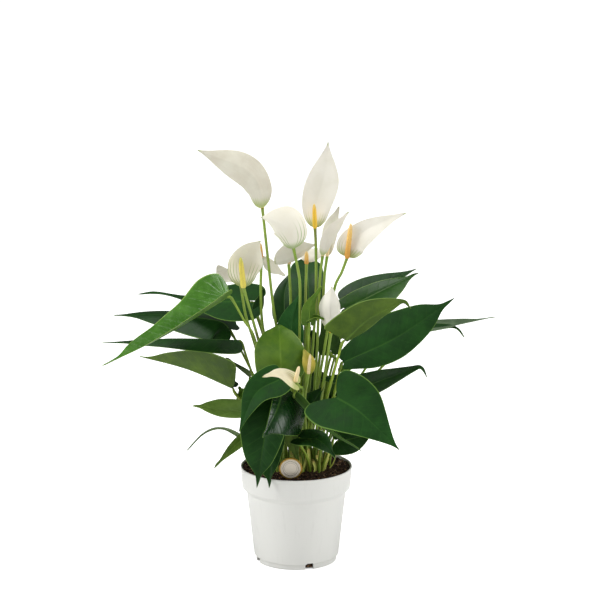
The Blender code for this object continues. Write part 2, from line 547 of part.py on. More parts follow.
# Each flower: the stalk's foot, its route, its top, the spadix tip; then the spathe's midrib and face.
FLOWERS = {
    "flower_top_left": dict(
        stalk=dict(foot=(-5, 2), stem=((-14, 0, 215), (-24, 4, 276), (-30, 7, 330)), base=(-36, 8, 387),
                   spadix_tip=(-40, 14, 412)),
        spathe=dict(spine=((-37, 5, 388), (-41, 3, 411), (-58, 1, 433), (-105, 0, 452)), face=(-0.2, 1, -0.1),
                    widths=(13, 13))),
    "flower_top": dict(
        stalk=dict(foot=(9, 2), stem=((18, 6, 240), (21, 8, 294), (21, 10, 341)), base=(20, 10, 365),
                   spadix_tip=(19, 6, 392)),
        spathe=dict(spine=((20, 13, 365), (22, 17, 391), (29, 18, 418), (34, 16, 455)), face=(0, -1, 0.1),
                    widths=(18, 18))),
    "flower_round": dict(
        stalk=dict(foot=(-3, -6), stem=((3, -5, 240), (4, -4, 302), (2, -4, 322)), base=(-3, -5, 347),
                   spadix_tip=(-12, 0, 362)),
        spathe=dict(spine=((-3, -8, 347), (-6, -16, 366), (-16, -19, 379), (-38, -14, 382)), face=(0, 1, 0.1),
                    widths=(25, 17), fold=(10, 10), curl=50)),
    "flower_hooded": dict(
        stalk=dict(foot=(-10, -6), stem=((-36, -10, 230), (-46, -10, 268), (-52, -12, 290)),
                   base=(-56, -15, 306), spadix_tip=(-59, -20, 340)),
        spathe=dict(spine=((-56, -12, 306), (-57, -2, 331), (-51, -14, 356), (-36, -30, 360)),
                    face=(0.1, -1, 0.1), face_tip=(0, -0.4, -1), widths=(22, 22), fold=(10, 10), curl=50)),
    "flower_behind_left": dict(
        stalk=dict(foot=(-11, 2), stem=((-32, 10, 235), (-37, 14, 265), (-39, 18, 287)), base=(-41, 22, 306),
                   spadix_tip=(-38, 20, 340)),
        spathe=dict(spine=((-43.3, 24.3, 306), (-45, 34, 316), (-38, 36, 327), (-27, 36, 324),
                           (-13, 36, 306)), face=(-0.9, -0.2, 0.3), face_tip=(0.5, -0.6, 0.8),
                    widths=(9, 9))),
    "flower_far_left": dict(
        stalk=dict(foot=(-12, 10), stem=((-45, 6, 240), (-54, 6, 270)), base=(-60, 20, 303),
                   spadix_tip=(-58, 22, 325)),
        spathe=dict(spine=((-62.8, 20.8, 305), (-76, 26, 311), (-87, 30, 301)), face=(0, -0.3, 1),
                    widths=(12, 14))),
    "flower_grey": dict(
        stalk=dict(foot=(0, 10), stem=((-5, 13, 215), (-6, 18, 282)), base=(-8, 20, 321),
                   spadix_tip=(-2, 30, 342)),
        spathe=dict(spine=((-7, 16, 323), (0, 20, 336), (21, 30, 344)), face=(-0.2, 0.9, 0.4), shape=HEART,
                    widths=(9, 24), lobe=9)),
    "flower_small_orange": dict(
        stalk=dict(foot=(6, 10), stem=((9, 12, 215), (10, 16, 288)), base=(11, 22, 323),
                   spadix_tip=(11, 20, 337)),
        spathe=dict(spine=((11, 25, 324), (16, 38, 329), (23, 54, 333)), face=(0, -0.5, 1),
                    widths=(12, 12))),
    "flower_narrow": dict(
        stalk=dict(foot=(15, 2), stem=((22, 0, 230), (25, 4, 306)), base=(28, 6, 335),
                   spadix_tip=(33, 12, 352)),
        spathe=dict(spine=((28, 3, 337), (33, 4, 353), (40, 6, 364), (56, 6, 384)), face=(-0.2, 0.95, 0.2),
                    face_tip=(-0.6, 0.8, 0.2), widths=(8, 8))),
    "flower_narrow_back": dict(
        stalk=dict(foot=(13, 10), stem=((26, 14, 230), (30, 20, 306)), base=(33, 22, 331),
                   spadix_tip=(35, 18, 352)),
        spathe=dict(spine=((34, 25, 332), (38, 28, 360), (46, 28, 385)), face=(-0.5, -0.8, 0.2),
                    widths=(10, 9))),
    "flower_right": dict(
        stalk=dict(foot=(12, -6), stem=((30, -4, 235), (41, 0, 302), (48, -1, 318)), base=(54, -2, 335),
                   spadix_tip=(58, -6, 374)),
        spathe=dict(spine=((55.3, 0.3, 337), (71, -2, 360), (95, -9, 373), (117, -14, 387)),
                    face=(-0.3, -0.85, 0.4), widths=(14, 14))),
    "flower_furled": dict(
        stalk=dict(foot=(18, -6), stem=((30, -8, 205), ), base=(37, -10, 255), spadix_tip=(37, -6, 280)),
        spathe=dict(spine=((37, -13, 257), (36, -16, 285), (38, -8, 306)), face=(0, 1, 0),
                    widths=(18, 18), fold=(20, 20), curl=60)),
    "flower_low_front": dict(
        stalk=dict(foot=(5, -14), stem=((6.5, -26, 185), (6, -33, 202), (5, -46, 209)), base=(0, -62, 212),
                   spadix_tip=(3, -64, 233)),
        spathe=dict(spine=((-4, -63, 213), (-19, -68, 226), (-36, -76, 224)), face=(0.2, -0.4, 0.9),
                    shape=HEART, widths=(10, 10), lobe=4)),
    "flower_bud": dict(
        stalk=dict(foot=(12, -14), stem=((9, -21, 179), ), base=(13, -26, 214), spadix_tip=(15, -28, 236),
                   spadix_radius=1.9),
        spathe=dict(spine=((12, -23, 216), (9, -19, 228), (8, -20, 240)), face=(0.2, -1, 0),
                    widths=(7, 7), fold=(20, 20), curl=40)),
}


def clear_scene():
    for old in list(bpy.data.objects):
        bpy.data.objects.remove(old, do_unlink=True)


def make_plant():
    for name, values in LEAVES.items():
        leaf(name, **values)
    for name, values in FLOWERS.items():
        flower_stalk(name + "_stalk", **values["stalk"])
        spathe(name + "_spathe", **values["spathe"])


clear_scene()
make_pot()
make_soil()
label_shape("plant_label", 0.0)
make_plant()
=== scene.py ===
"""A potted anthurium: the looks of a house plant with ivory flowers in a white nursery pot.

Lengths are millimetres, and MM turns them into the frame's metres. The pot stands on the ground plane with
the centre of its base at the origin, +Z is up and the front of the plant faces -Y.
"""
import math
import random
from bisect import bisect_right

import bmesh
import bpy
from mathutils import Matrix, Vector, noise


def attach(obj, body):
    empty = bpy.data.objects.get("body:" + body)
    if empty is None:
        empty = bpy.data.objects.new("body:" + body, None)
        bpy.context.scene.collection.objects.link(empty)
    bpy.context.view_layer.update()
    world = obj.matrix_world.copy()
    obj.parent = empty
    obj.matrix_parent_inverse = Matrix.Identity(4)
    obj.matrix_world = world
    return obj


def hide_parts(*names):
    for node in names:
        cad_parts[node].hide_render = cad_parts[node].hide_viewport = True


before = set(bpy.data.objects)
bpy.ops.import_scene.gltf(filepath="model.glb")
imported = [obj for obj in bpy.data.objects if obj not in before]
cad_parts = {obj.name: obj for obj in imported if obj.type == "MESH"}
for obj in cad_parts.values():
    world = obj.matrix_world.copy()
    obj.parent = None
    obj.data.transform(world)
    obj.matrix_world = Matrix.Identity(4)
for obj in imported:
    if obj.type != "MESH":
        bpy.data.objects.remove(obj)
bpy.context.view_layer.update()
MM = 0.001


# Studio. A long lens looks a little down on the plant from the front. The floor is a wide pale sheet, and
# three large soft lamps stand left, right and above, with a weak even light all round.
CAMERA_AIM = Vector((4.0, 0.0, 288.5)) * MM
CAMERA_DISTANCE = 4.0
CAMERA_ELEVATION = math.radians(14.0)
SENSOR_WIDTH = 36.0
SIGHT_WIDTH = 600 * 1.067 * MM
FLOOR_HALF = 14.0
LAMPS = {
    "lamp_left": dict(place=(-2.3, -0.7, 1.5), size=1.5, power=43.0),
    "lamp_right": dict(place=(2.3, -0.5, 1.1), size=1.4, power=32.0),
    "lamp_top": dict(place=(-0.3, -0.1, 2.5), size=1.2, power=25.0),
}


def tone(red, green, blue):
    """A colour given as on a paint card, 0 to 255, as linear light."""
    return tuple(((part / 255 + 0.055) / 1.055) ** 2.4 if part > 10 else part / 255 / 12.92
                 for part in (red, green, blue)) + (1.0,)


def add_node(tree, kind, inputs=None, **settings):
    """A shader node with its settings, and its inputs given as values or as other nodes' outputs."""
    made = tree.nodes.new(kind)
    for name, value in settings.items():
        setattr(made, name, value)
    for socket, value in (inputs or {}).items():
        if isinstance(value, bpy.types.NodeSocket):
            tree.links.new(value, made.inputs[socket])
        else:
            made.inputs[socket].default_value = value
    return made


def new_finish(name, **even):
    """A material with one Principled shader. Returns the material, its tree and the shader."""
    made = bpy.data.materials.new(name)
    made.use_nodes = True
    shader = made.node_tree.nodes["Principled BSDF"]
    for socket, value in even.items():
        shader.inputs[socket.replace("_", " ")].default_value = value
    return made, made.node_tree, shader


camera = bpy.data.objects.new("studio_camera", bpy.data.cameras.new("studio_camera"))
camera.location = CAMERA_AIM + Vector((0.0, -math.cos(CAMERA_ELEVATION), math.sin(CAMERA_ELEVATION))) * CAMERA_DISTANCE
camera.rotation_euler = (CAMERA_AIM - camera.location).to_track_quat("-Z", "Y").to_euler()
camera.data.sensor_width = SENSOR_WIDTH
camera.data.lens = SENSOR_WIDTH * CAMERA_DISTANCE / SIGHT_WIDTH
camera.data.clip_end = 60.0
bpy.context.scene.collection.objects.link(camera)
bpy.context.scene.camera = camera

for lamp_name, lamp in LAMPS.items():
    light = bpy.data.lights.new(lamp_name, "AREA")
    light.shape = "DISK"
    light.size = lamp["size"]
    light.energy = lamp["power"]
    holder = bpy.data.objects.new(lamp_name, light)
    holder.location = lamp["place"]
    holder.rotation_euler = (Vector((0.0, 0.0, 0.22)) - holder.location).to_track_quat("-Z", "Y").to_euler()
    bpy.context.scene.collection.objects.link(holder)

surround = bpy.data.worlds.new("studio_surround")
surround.use_nodes = True
surround.node_tree.nodes["Background"].inputs["Color"].default_value = (1.0, 1.0, 1.0, 1.0)
mirrored = add_node(surround.node_tree, "ShaderNodeLightPath").outputs["Is Glossy Ray"]
strength = add_node(surround.node_tree, "ShaderNodeMath", {0: mirrored, 1: -0.24, 2: 0.40}, operation="MULTIPLY_ADD")
surround.node_tree.links.new(strength.outputs[0], surround.node_tree.nodes["Background"].inputs["Strength"])
bpy.context.scene.world = surround
bpy.context.scene.view_settings.view_transform = "Standard"

floor_mesh = bpy.data.meshes.new("studio_floor")
floor_mesh.from_pydata([(-FLOOR_HALF, -FLOOR_HALF, 0), (FLOOR_HALF, -FLOOR_HALF, 0),
                        (FLOOR_HALF, FLOOR_HALF, 0), (-FLOOR_HALF, FLOOR_HALF, 0)], [], [(0, 1, 2, 3)])
floor = bpy.data.objects.new("studio_floor", floor_mesh)
floor_finish, tree, shader = new_finish("studio_floor", Base_Color=tone(250, 250, 250), Roughness=0.9,
                                        Emission_Color=(1.0, 1.0, 1.0, 1.0))
seen = add_node(tree, "ShaderNodeMath", {0: add_node(tree, "ShaderNodeLightPath").outputs["Is Camera Ray"], 1: 0.62},
                operation="MULTIPLY")
tree.links.new(seen.outputs[0], shader.inputs["Emission Strength"])
floor_mesh.materials.append(floor_finish)
bpy.context.scene.collection.objects.link(floor)


# Pot. A nursery pot for a 12 cm plant, moulded in one from white polypropylene: a rim band over a narrower
# tapered wall, a recessed foot, and four drain slots through the corner of the foot.
RIM_RADIUS = 60.0
POT_HEIGHT = 105.0
WALL = 1.4
BAND_BOTTOM_RADIUS = 58.6
WALL_TOP_RADIUS = 53.6
WALL_BOTTOM_RADIUS = 45.6
FOOT_RADIUS = 43.3
POT_SIDES = 144
POT_PROFILE = (
    (0.0, 0.5, 0), (34.0, 0.5, 0.3), (35.0, 0.0, 0.5), (FOOT_RADIUS, 0.0, 0.8), (FOOT_RADIUS, 5.4, 0.5),
    (44.6, 5.7, 0.5), (WALL_BOTTOM_RADIUS, 6.9, 0.9), (WALL_TOP_RADIUS, 77.2, 0.7), (BAND_BOTTOM_RADIUS - 0.2, 82.2, 1.1),
    (RIM_RADIUS - 0.1, 102.4, 0.6), (RIM_RADIUS + 0.25, 103.0, 0.5), (RIM_RADIUS + 0.2, POT_HEIGHT, 0.75),
    (RIM_RADIUS - WALL, POT_HEIGHT, 0.6), (BAND_BOTTOM_RADIUS - WALL, 84.0, 1.0),
    (WALL_TOP_RADIUS - WALL, 78.4, 0.8), (FOOT_RADIUS - WALL + 0.2, 8.0, 0.8), (FOOT_RADIUS - WALL, 1.6, 0.6),
    (0.0, 1.6, 0),
)
SLOT_COUNT = 4
SLOT_FIRST_ANGLE = 19.0
SLOT_SIZE = (14.0, 10.0, 7.5)


def rounded(profile, steps=5):
    """The profile with each corner replaced by an arc of its own radius."""
    points = [Vector(profile[0][:2])]
    for before, corner, after in zip(profile, profile[1:], profile[2:]):
        here = Vector(corner[:2])
        back = Vector(before[:2]) - here
        ahead = Vector(after[:2]) - here
        reach = min(corner[2], back.length * 0.48, ahead.length * 0.48)
        start = here + back.normalized() * reach
        end = here + ahead.normalized() * reach
        for step in range(steps):
            t = step / (steps - 1)
            points.append(start * (1 - t) ** 2 + here * (2 * t * (1 - t)) + end * t ** 2)
    points.append(Vector(profile[-1][:2]))
    return points


def turn(builder, points, sides):
    """Turn a profile that starts and ends on the axis into a closed solid about Z."""
    rings = []
    for radius, height in points[1:-1]:
        rings.append([builder.verts.new((radius * math.cos(math.tau * side / sides),
                                         radius * math.sin(math.tau * side / sides), height))
                      for side in range(sides)])
    first = builder.verts.new((0.0, 0.0, points[0].y))
    last = builder.verts.new((0.0, 0.0, points[-1].y))
    for side in range(sides):
        after = (side + 1) % sides
        builder.faces.new((first, rings[0][after], rings[0][side]))
        builder.faces.new((last, rings[-1][side], rings[-1][after]))
        for lower, upper in zip(rings, rings[1:]):
            builder.faces.new((lower[side], lower[after], upper[after], upper[side]))
    return rings


def make_piece(name, builder, finishes, sharp=40.0):
    """Turn a bmesh in millimetres into an object in metres that rides with the plant."""
    bmesh.ops.recalc_face_normals(builder, faces=builder.faces)
    bmesh.ops.scale(builder, vec=(MM, MM, MM), verts=builder.verts)
    mesh = bpy.data.meshes.new(name)
    builder.to_mesh(mesh)
    builder.free()
    mesh.shade_smooth()
    mesh.set_sharp_from_angle(angle=math.radians(sharp))
    for finish in finishes:
        mesh.materials.append(finish)
    made = bpy.data.objects.new(name, mesh)
    bpy.context.scene.collection.objects.link(made)
    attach(made, "root")
    return made


def moulding_marks():
    """Node group for moulded plastic: the soft ripple of the mould, handling scuffs, and their gloss."""
    group = bpy.data.node_groups.new("moulding_marks", "ShaderNodeTree")
    for name, low in (("Ripple Scale", 60.0), ("Scuff Scale", 900.0)):
        group.interface.new_socket(name, in_out="INPUT", socket_type="NodeSocketFloat").default_value = low
    for name in ("Scuffs", "Height"):
        group.interface.new_socket(name, in_out="OUTPUT", socket_type="NodeSocketFloat")
    inside = add_node(group, "NodeGroupInput")
    outside = add_node(group, "NodeGroupOutput")
    place = add_node(group, "ShaderNodeTexCoord").outputs["Object"]
    ripple = add_node(group, "ShaderNodeTexNoise", {"Vector": place, "Scale": inside.outputs["Ripple Scale"],
                                                    "Detail": 3.0})
    grain = add_node(group, "ShaderNodeTexNoise", {"Vector": place, "Scale": inside.outputs["Scuff Scale"],
                                                   "Detail": 2.0})
    streaks = add_node(group, "ShaderNodeMapping", {"Vector": place, "Scale": (1.0, 1.0, 0.12)})
    scuff = add_node(group, "ShaderNodeTexNoise", {"Vector": streaks.outputs["Vector"], "Scale": 210.0,
                                                   "Detail": 6.0, "Roughness": 0.7})
    scuffs = add_node(group, "ShaderNodeMapRange", {"Value": scuff.outputs["Fac"], "From Min": 0.56,
                                                    "From Max": 0.74})
    relief = add_node(group, "ShaderNodeMath", {0: ripple.outputs["Fac"], 1: 2.0, 2: grain.outputs["Fac"]},
                      operation="MULTIPLY_ADD")
    group.links.new(scuffs.outputs["Result"], outside.inputs["Scuffs"])
    group.links.new(relief.outputs["Value"], outside.inputs["Height"])
    return group


def mixed(tree, factor, first, second):
    """A colour between two colours."""
    return add_node(tree, "ShaderNodeMix", {0: factor, 6: first, 7: second}, data_type="RGBA").outputs[2]


def ranged(tree, value, from_low, from_high, low=0.0, high=1.0):
    """A value moved from one range to another, smooth at both ends."""
    return add_node(tree, "ShaderNodeMapRange",
                    {"Value": value, "From Min": from_low, "From Max": from_high, "To Min": low, "To Max": high},
                    interpolation_type="SMOOTHSTEP").outputs["Result"]


def sum_of(tree, operation, first, second=0.0, third=0.0):
    """One step of arithmetic on values."""
    return add_node(tree, "ShaderNodeMath", {0: first, 1: second, 2: third}, operation=operation).outputs[0]


def emboss(tree, shader, height, depth, strength=1.0):
    """Feed a height in millimetres of depth to a shader's normal."""
    bump = add_node(tree, "ShaderNodeBump", {"Height": height, "Distance": depth * MM, "Strength": strength})
    tree.links.new(bump.outputs["Normal"], shader.inputs["Normal"])


moulding = moulding_marks()
pot_finish, tree, shader = new_finish("white_polypropylene", Specular_IOR_Level=0.45)
marks = add_node(tree, "ShaderNodeGroup", node_tree=moulding)
spatter = add_node(tree, "ShaderNodeTexVoronoi", {"Scale": 340.0, "Vector": add_node(
    tree, "ShaderNodeTexCoord").outputs["Object"]})
height_on_pot = add_node(tree, "ShaderNodeSeparateXYZ", {0: add_node(
    tree, "ShaderNodeTexCoord").outputs["Object"]}).outputs["Z"]
dirt = sum_of(tree, "MULTIPLY", ranged(tree, spatter.outputs["Distance"], 0.13, 0.05),
              ranged(tree, height_on_pot, 0.098, 0.105))
plain = mixed(tree, marks.outputs["Scuffs"], tone(216, 216, 211), tone(209, 209, 204))
tree.links.new(mixed(tree, sum_of(tree, "MULTIPLY", dirt, 0.35), plain, tone(120, 100, 80)), shader.inputs["Base Color"])
tree.links.new(ranged(tree, marks.outputs["Scuffs"], 0.0, 1.0, 0.36, 0.52), shader.inputs["Roughness"])
emboss(tree, shader, marks.outputs["Height"], 0.05, 0.35)

builder = bmesh.new()
turn(builder, rounded(POT_PROFILE), POT_SIDES)
pot = make_piece("nursery_pot", builder, [pot_finish], sharp=50.0)
cutters = []
for slot in range(SLOT_COUNT):
    angle = math.radians(SLOT_FIRST_ANGLE - 90.0 + 360.0 * slot / SLOT_COUNT)
    builder = bmesh.new()
    bmesh.ops.create_cube(builder, size=1.0)
    bmesh.ops.scale(builder, vec=(SLOT_SIZE[0], SLOT_SIZE[1], SLOT_SIZE[2] + 2.0), verts=builder.verts)
    for corner in builder.verts:
        if corner.co.z > 0.0:
            corner.co.y *= 0.86
    upright = [edge for edge in builder.edges if abs(edge.verts[0].co.x - edge.verts[1].co.x) > 1.0]
    bmesh.ops.bevel(builder, geom=upright, offset=0.9, segments=3, affect="EDGES")
    bmesh.ops.transform(builder, verts=builder.verts, matrix=(
        Matrix.Rotation(angle, 4, "Z") @ Matrix.Translation((WALL_BOTTOM_RADIUS - 0.5, 0.0, SLOT_SIZE[2] / 2 - 1.0))))
    bmesh.ops.scale(builder, vec=(MM, MM, MM), verts=builder.verts)
    slot_mesh = bpy.data.meshes.new("drain_slot")
    builder.to_mesh(slot_mesh)
    builder.free()
    cutter = bpy.data.objects.new("drain_slot", slot_mesh)
    bpy.context.scene.collection.objects.link(cutter)
    cutters.append(cutter)
    cut = pot.modifiers.new("drain_slot", "BOOLEAN")
    cut.operation = "DIFFERENCE"
    cut.solver = "EXACT"
    cut.object = cutter
slotted = bpy.data.meshes.new_from_object(pot.evaluated_get(bpy.context.evaluated_depsgraph_get()))
pot.modifiers.clear()
pot.data = slotted
pot.data.set_sharp_from_angle(angle=math.radians(35.0))
for cutter in cutters:
    bpy.data.objects.remove(cutter, do_unlink=True)
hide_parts("pot")


# Soil. Dark peat potting mix, pressed in by hand up to just under the rim and a little heaped round the
# crown, with crumbs, bark chips and pale root and straw fibres on top.
SOIL_TOP = 104.0
SOIL_EDGE_RADIUS = 57.6
SOIL_SIDES = 200
SOIL_RINGS = 46
CRUMBS = 620
FIBRES = 90


def soil_height(x, y):
    """The height of the peat's rough surface."""
    radius = math.hypot(x, y)
    level = SOIL_TOP - 0.4 - 0.5 * (radius / SOIL_EDGE_RADIUS) ** 4
    broad = noise.noise(Vector((x, y, 3.0)) * 0.06) * 1.3
    lumps = noise.noise(Vector((x, y, 9.0)) * 0.23) * 0.9
    grains = noise.noise(Vector((x, y, 17.0)) * 0.8) * 0.55
    return level + broad + lumps + grains


def peat_finish(name, dark, light, dry):
    """Peat: dark crumbs with paler dry ones between."""
    made, tree, shader = new_finish(name, Roughness=0.92, Specular_IOR_Level=0.2)
    place = add_node(tree, "ShaderNodeTexCoord").outputs["Object"]
    clumps = add_node(tree, "ShaderNodeTexNoise", {"Vector": place, "Scale": 260.0, "Detail": 6.0,
                                                   "Roughness": 0.7}).outputs["Fac"]
    cells = add_node(tree, "ShaderNodeTexVoronoi", {"Vector": place, "Scale": 620.0})
    body = mixed(tree, ranged(tree, clumps, 0.38, 0.68), dark, light)
    pale = sum_of(tree, "GREATER_THAN", add_node(tree, "ShaderNodeSeparateColor", {
        0: cells.outputs["Color"]}).outputs[0], 0.93)
    tree.links.new(mixed(tree, pale, body, dry), shader.inputs["Base Color"])
    emboss(tree, shader, sum_of(tree, "ADD", clumps, cells.outputs["Distance"]), 0.8)
    return made


peat = peat_finish("damp_peat", tone(30, 20, 14), tone(66, 44, 30), tone(120, 92, 66))
bark = peat_finish("bark_chip", tone(60, 38, 24), tone(104, 72, 48), tone(140, 110, 80))
straw, tree, shader = new_finish("root_fibre", Roughness=0.7)
fibre_noise = add_node(tree, "ShaderNodeTexNoise", {"Scale": 300.0, "Detail": 3.0, "Vector": add_node(
    tree, "ShaderNodeTexCoord").outputs["Object"]}).outputs["Fac"]
tree.links.new(mixed(tree, fibre_noise, tone(88, 62, 40), tone(176, 148, 108)), shader.inputs["Base Color"])

builder = bmesh.new()
surface = [builder.verts.new((0.0, 0.0, soil_height(0.0, 0.0)))]
rings = []
for ring_number in range(1, SOIL_RINGS + 1):
    radius = SOIL_EDGE_RADIUS * ring_number / SOIL_RINGS
    rings.append([builder.verts.new((radius * math.cos(math.tau * side / SOIL_SIDES),
                                     radius * math.sin(math.tau * side / SOIL_SIDES),
                                     soil_height(radius * math.cos(math.tau * side / SOIL_SIDES),
                                                 radius * math.sin(math.tau * side / SOIL_SIDES))))
                  for side in range(SOIL_SIDES)])
for radius, height in ((56.6, 98.0), (55.8, 84.6), (51.6, 78.0), (41.2, 7.5), (40.9, 2.0)):
    rings.append([builder.verts.new((radius * math.cos(math.tau * side / SOIL_SIDES),
                                     radius * math.sin(math.tau * side / SOIL_SIDES), height))
                  for side in range(SOIL_SIDES)])
for side in range(SOIL_SIDES):
    after = (side + 1) % SOIL_SIDES
    builder.faces.new((surface[0], rings[0][side], rings[0][after]))
    for inner, outer in zip(rings, rings[1:]):
        builder.faces.new((inner[side], outer[side], outer[after], inner[after]))
builder.faces.new(list(reversed(rings[-1])))
draw = random.Random(12)
ball = bmesh.new()
bmesh.ops.create_icosphere(ball, subdivisions=2, radius=1.0)
ball_places = [corner.co.copy() for corner in ball.verts]
ball_faces = [[corner.index for corner in face.verts] for face in ball.faces]
ball.free()
for _ in range(CRUMBS):
    radius = SOIL_EDGE_RADIUS * 0.975 * math.sqrt(draw.random())
    turned = draw.uniform(0.0, math.tau)
    x, y = radius * math.cos(turned), radius * math.sin(turned)
    size = draw.uniform(0.5, 1.5) if draw.random() < 0.86 else draw.uniform(1.5, 2.5)
    chip = draw.random() < 0.16
    shape = Matrix.Diagonal((size * draw.uniform(0.8, 1.7), size * draw.uniform(0.6, 1.1),
                             size * (0.35 if chip else 0.75), 1.0))
    lie = Matrix.Rotation(draw.uniform(0.0, math.tau), 4, "Z") @ Matrix.Rotation(draw.uniform(-0.4, 0.4), 4, "X")
    seat = Matrix.Translation((x, y, soil_height(x, y) + size * 0.1)) @ lie @ shape
    grown = []
    for place in ball_places:
        place = seat @ (place * (1.0 + 0.4 * noise.noise(place * 1.7 + Vector((x, y, size)))))
        place.xy *= min(1.0, 58.2 / place.xy.length)
        grown.append(builder.verts.new(place))
    for around in ball_faces:
        builder.faces.new([grown[index] for index in around]).material_index = 1 if chip else 0
for _ in range(FIBRES):
    radius = SOIL_EDGE_RADIUS * 0.93 * math.sqrt(draw.random())
    turned = draw.uniform(0.0, math.tau)
    heading = draw.uniform(0.0, math.tau)
    bend = draw.uniform(-0.5, 0.5)
    x, y = radius * math.cos(turned), radius * math.sin(turned)
    thick = draw.uniform(0.12, 0.28)
    before = None
    for _step in range(6):
        centre = Vector((x, y, soil_height(x, y) + thick * 1.6))
        side_way = Vector((-math.sin(heading), math.cos(heading), 0.0)) * thick
        up_way = Vector((0.0, 0.0, thick))
        ring_here = [builder.verts.new(centre + way) for way in (side_way, up_way, -side_way, -up_way)]
        for index in range(4):
            if before:
                face = builder.faces.new((before[index], before[(index + 1) % 4], ring_here[(index + 1) % 4],
                                          ring_here[index]))
                face.material_index = 2
        if before is None:
            builder.faces.new(list(reversed(ring_here))).material_index = 2
        before = ring_here
        heading += bend
        x += math.cos(heading) * 1.5
        y += math.sin(heading) * 1.5
        if math.hypot(x, y) > SOIL_EDGE_RADIUS - 1.0:
            heading += math.pi / 2.0
            x, y = x * 0.95, y * 0.95
    builder.faces.new(before).material_index = 2
soil = make_piece("peat_soil", builder, [peat, bark, straw], sharp=80.0)
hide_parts("soil")


# Plant label. A printed round disc on a flat stick, moulded in one from plastic and pushed into the soil
# by the rim: a scalloped gold edge round a plain cream face with two thin grooves and a ring of grey beads.
LABEL_CENTRE = (-6.0, -48.2, 115.6)
LABEL_LEAN = 8.0
LABEL_SCALLOPS = 26
LABEL_PROFILE = (
    (0.0, 0.95, 0), (6.1, 0.86, 0.2), (6.45, 0.70, 0.15), (6.8, 0.84, 0.2), (9.5, 0.80, 0.2),
    (9.8, 0.64, 0.15), (10.1, 0.90, 0.2), (11.3, 1.08, 0.5), (12.5, 0.80, 0.4), (12.6, -0.45, 0.4),
    (12.1, -0.80, 0.3), (0.0, -0.80, 0),
)
STICK_WIDTH = 5.0
STICK_LENGTH = 47.0

label_finish, tree, shader = new_finish("printed_label", Specular_IOR_Level=0.5, Coat_Roughness=0.2)
spot = add_node(tree, "ShaderNodeSeparateXYZ", {0: add_node(tree, "ShaderNodeUVMap", uv_map="label_map").outputs[0]})
gold_edge = ranged(tree, spot.outputs["X"], 0.842, 0.853)
grain = add_node(tree, "ShaderNodeTexNoise", {"Scale": 900.0, "Detail": 3.0, "Vector": add_node(
    tree, "ShaderNodeTexCoord").outputs["Object"]}).outputs["Fac"]
bead_turn = sum_of(tree, "PINGPONG", sum_of(tree, "MULTIPLY", spot.outputs["Y"], 34.0), 0.5)
bead_out = sum_of(tree, "ABSOLUTE", sum_of(tree, "SUBTRACT", spot.outputs["X"], 0.652))
beads = sum_of(tree, "MULTIPLY", ranged(tree, bead_turn, 0.33, 0.24), ranged(tree, bead_out, 0.046, 0.034))
grooves = sum_of(tree, "MAXIMUM",
                 ranged(tree, sum_of(tree, "ABSOLUTE", sum_of(tree, "SUBTRACT", spot.outputs["X"], 0.513)), 0.018, 0.009),
                 ranged(tree, sum_of(tree, "ABSOLUTE", sum_of(tree, "SUBTRACT", spot.outputs["X"], 0.778)), 0.014, 0.007))
cream = mixed(tree, grain, tone(216, 206, 188), tone(228, 219, 203))
printed = mixed(tree, sum_of(tree, "MAXIMUM", sum_of(tree, "MULTIPLY", beads, 0.9), sum_of(tree, "MULTIPLY", grooves, 0.6)),
                cream, tone(92, 88, 78))
gold = mixed(tree, grain, tone(132, 104, 26), tone(172, 138, 50))
tree.links.new(mixed(tree, gold_edge, printed, gold), shader.inputs["Base Color"])
tree.links.new(sum_of(tree, "MULTIPLY", gold_edge, 0.4), shader.inputs["Metallic"])
tree.links.new(ranged(tree, gold_edge, 0.0, 1.0, 0.42, 0.3), shader.inputs["Roughness"])
emboss(tree, shader, sum_of(tree, "ADD", grain, sum_of(tree, "MULTIPLY", beads, 3.0)), 0.05)

builder = bmesh.new()
label_map = builder.loops.layers.uv.new("label_map")
turn(builder, rounded(LABEL_PROFILE, 4), LABEL_SCALLOPS * 8)
for corner in builder.verts:
    radius = corner.co.xy.length
    if radius > 10.0:
        swing = math.atan2(corner.co.y, corner.co.x) * LABEL_SCALLOPS
        corner.co.xy *= 1.0 + 0.014 * math.cos(swing) * min((radius - 10.0) / 2.0, 1.0)
for face in builder.faces:
    middle = face.calc_center_median()
    for loop in face.loops:
        radius = loop.vert.co.xy.length / 12.6 if loop.vert.co.z > -0.6 else 0.0
        swing = math.atan2(loop.vert.co.y, loop.vert.co.x) / math.tau
        if swing < 0.0 and math.atan2(middle.y, middle.x) > 2.0:
            swing += 1.0
        if swing > 0.4 and math.atan2(middle.y, middle.x) < -2.0:
            swing -= 1.0
        loop[label_map].uv = (radius, swing)
stick = []
for height, half in ((-11.0, 2.5), (-STICK_LENGTH + 5.0, 2.3), (-STICK_LENGTH + 1.4, 0.9), (-STICK_LENGTH, 0.25)):
    stick.append([builder.verts.new(place) for place in (
        (-half, height, 0.62), (half, height, 0.62), (half + 0.12, height, 0.0), (half, height, -0.62),
        (-half, height, -0.62), (-half - 0.12, height, 0.0))])
builder.faces.new(stick[0])
builder.faces.new(list(reversed(stick[-1])))
for above, below in zip(stick, stick[1:]):
    for index in range(6):
        builder.faces.new((above[index], below[index], below[(index + 1) % 6], above[(index + 1) % 6]))
bmesh.ops.transform(builder, verts=builder.verts, matrix=(
    Matrix.Translation(LABEL_CENTRE) @ Matrix.Rotation(math.radians(LABEL_LEAN + 90.0), 4, "X")))
label = make_piece("round_label", builder, [label_finish], sharp=45.0)
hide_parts("plant_label")


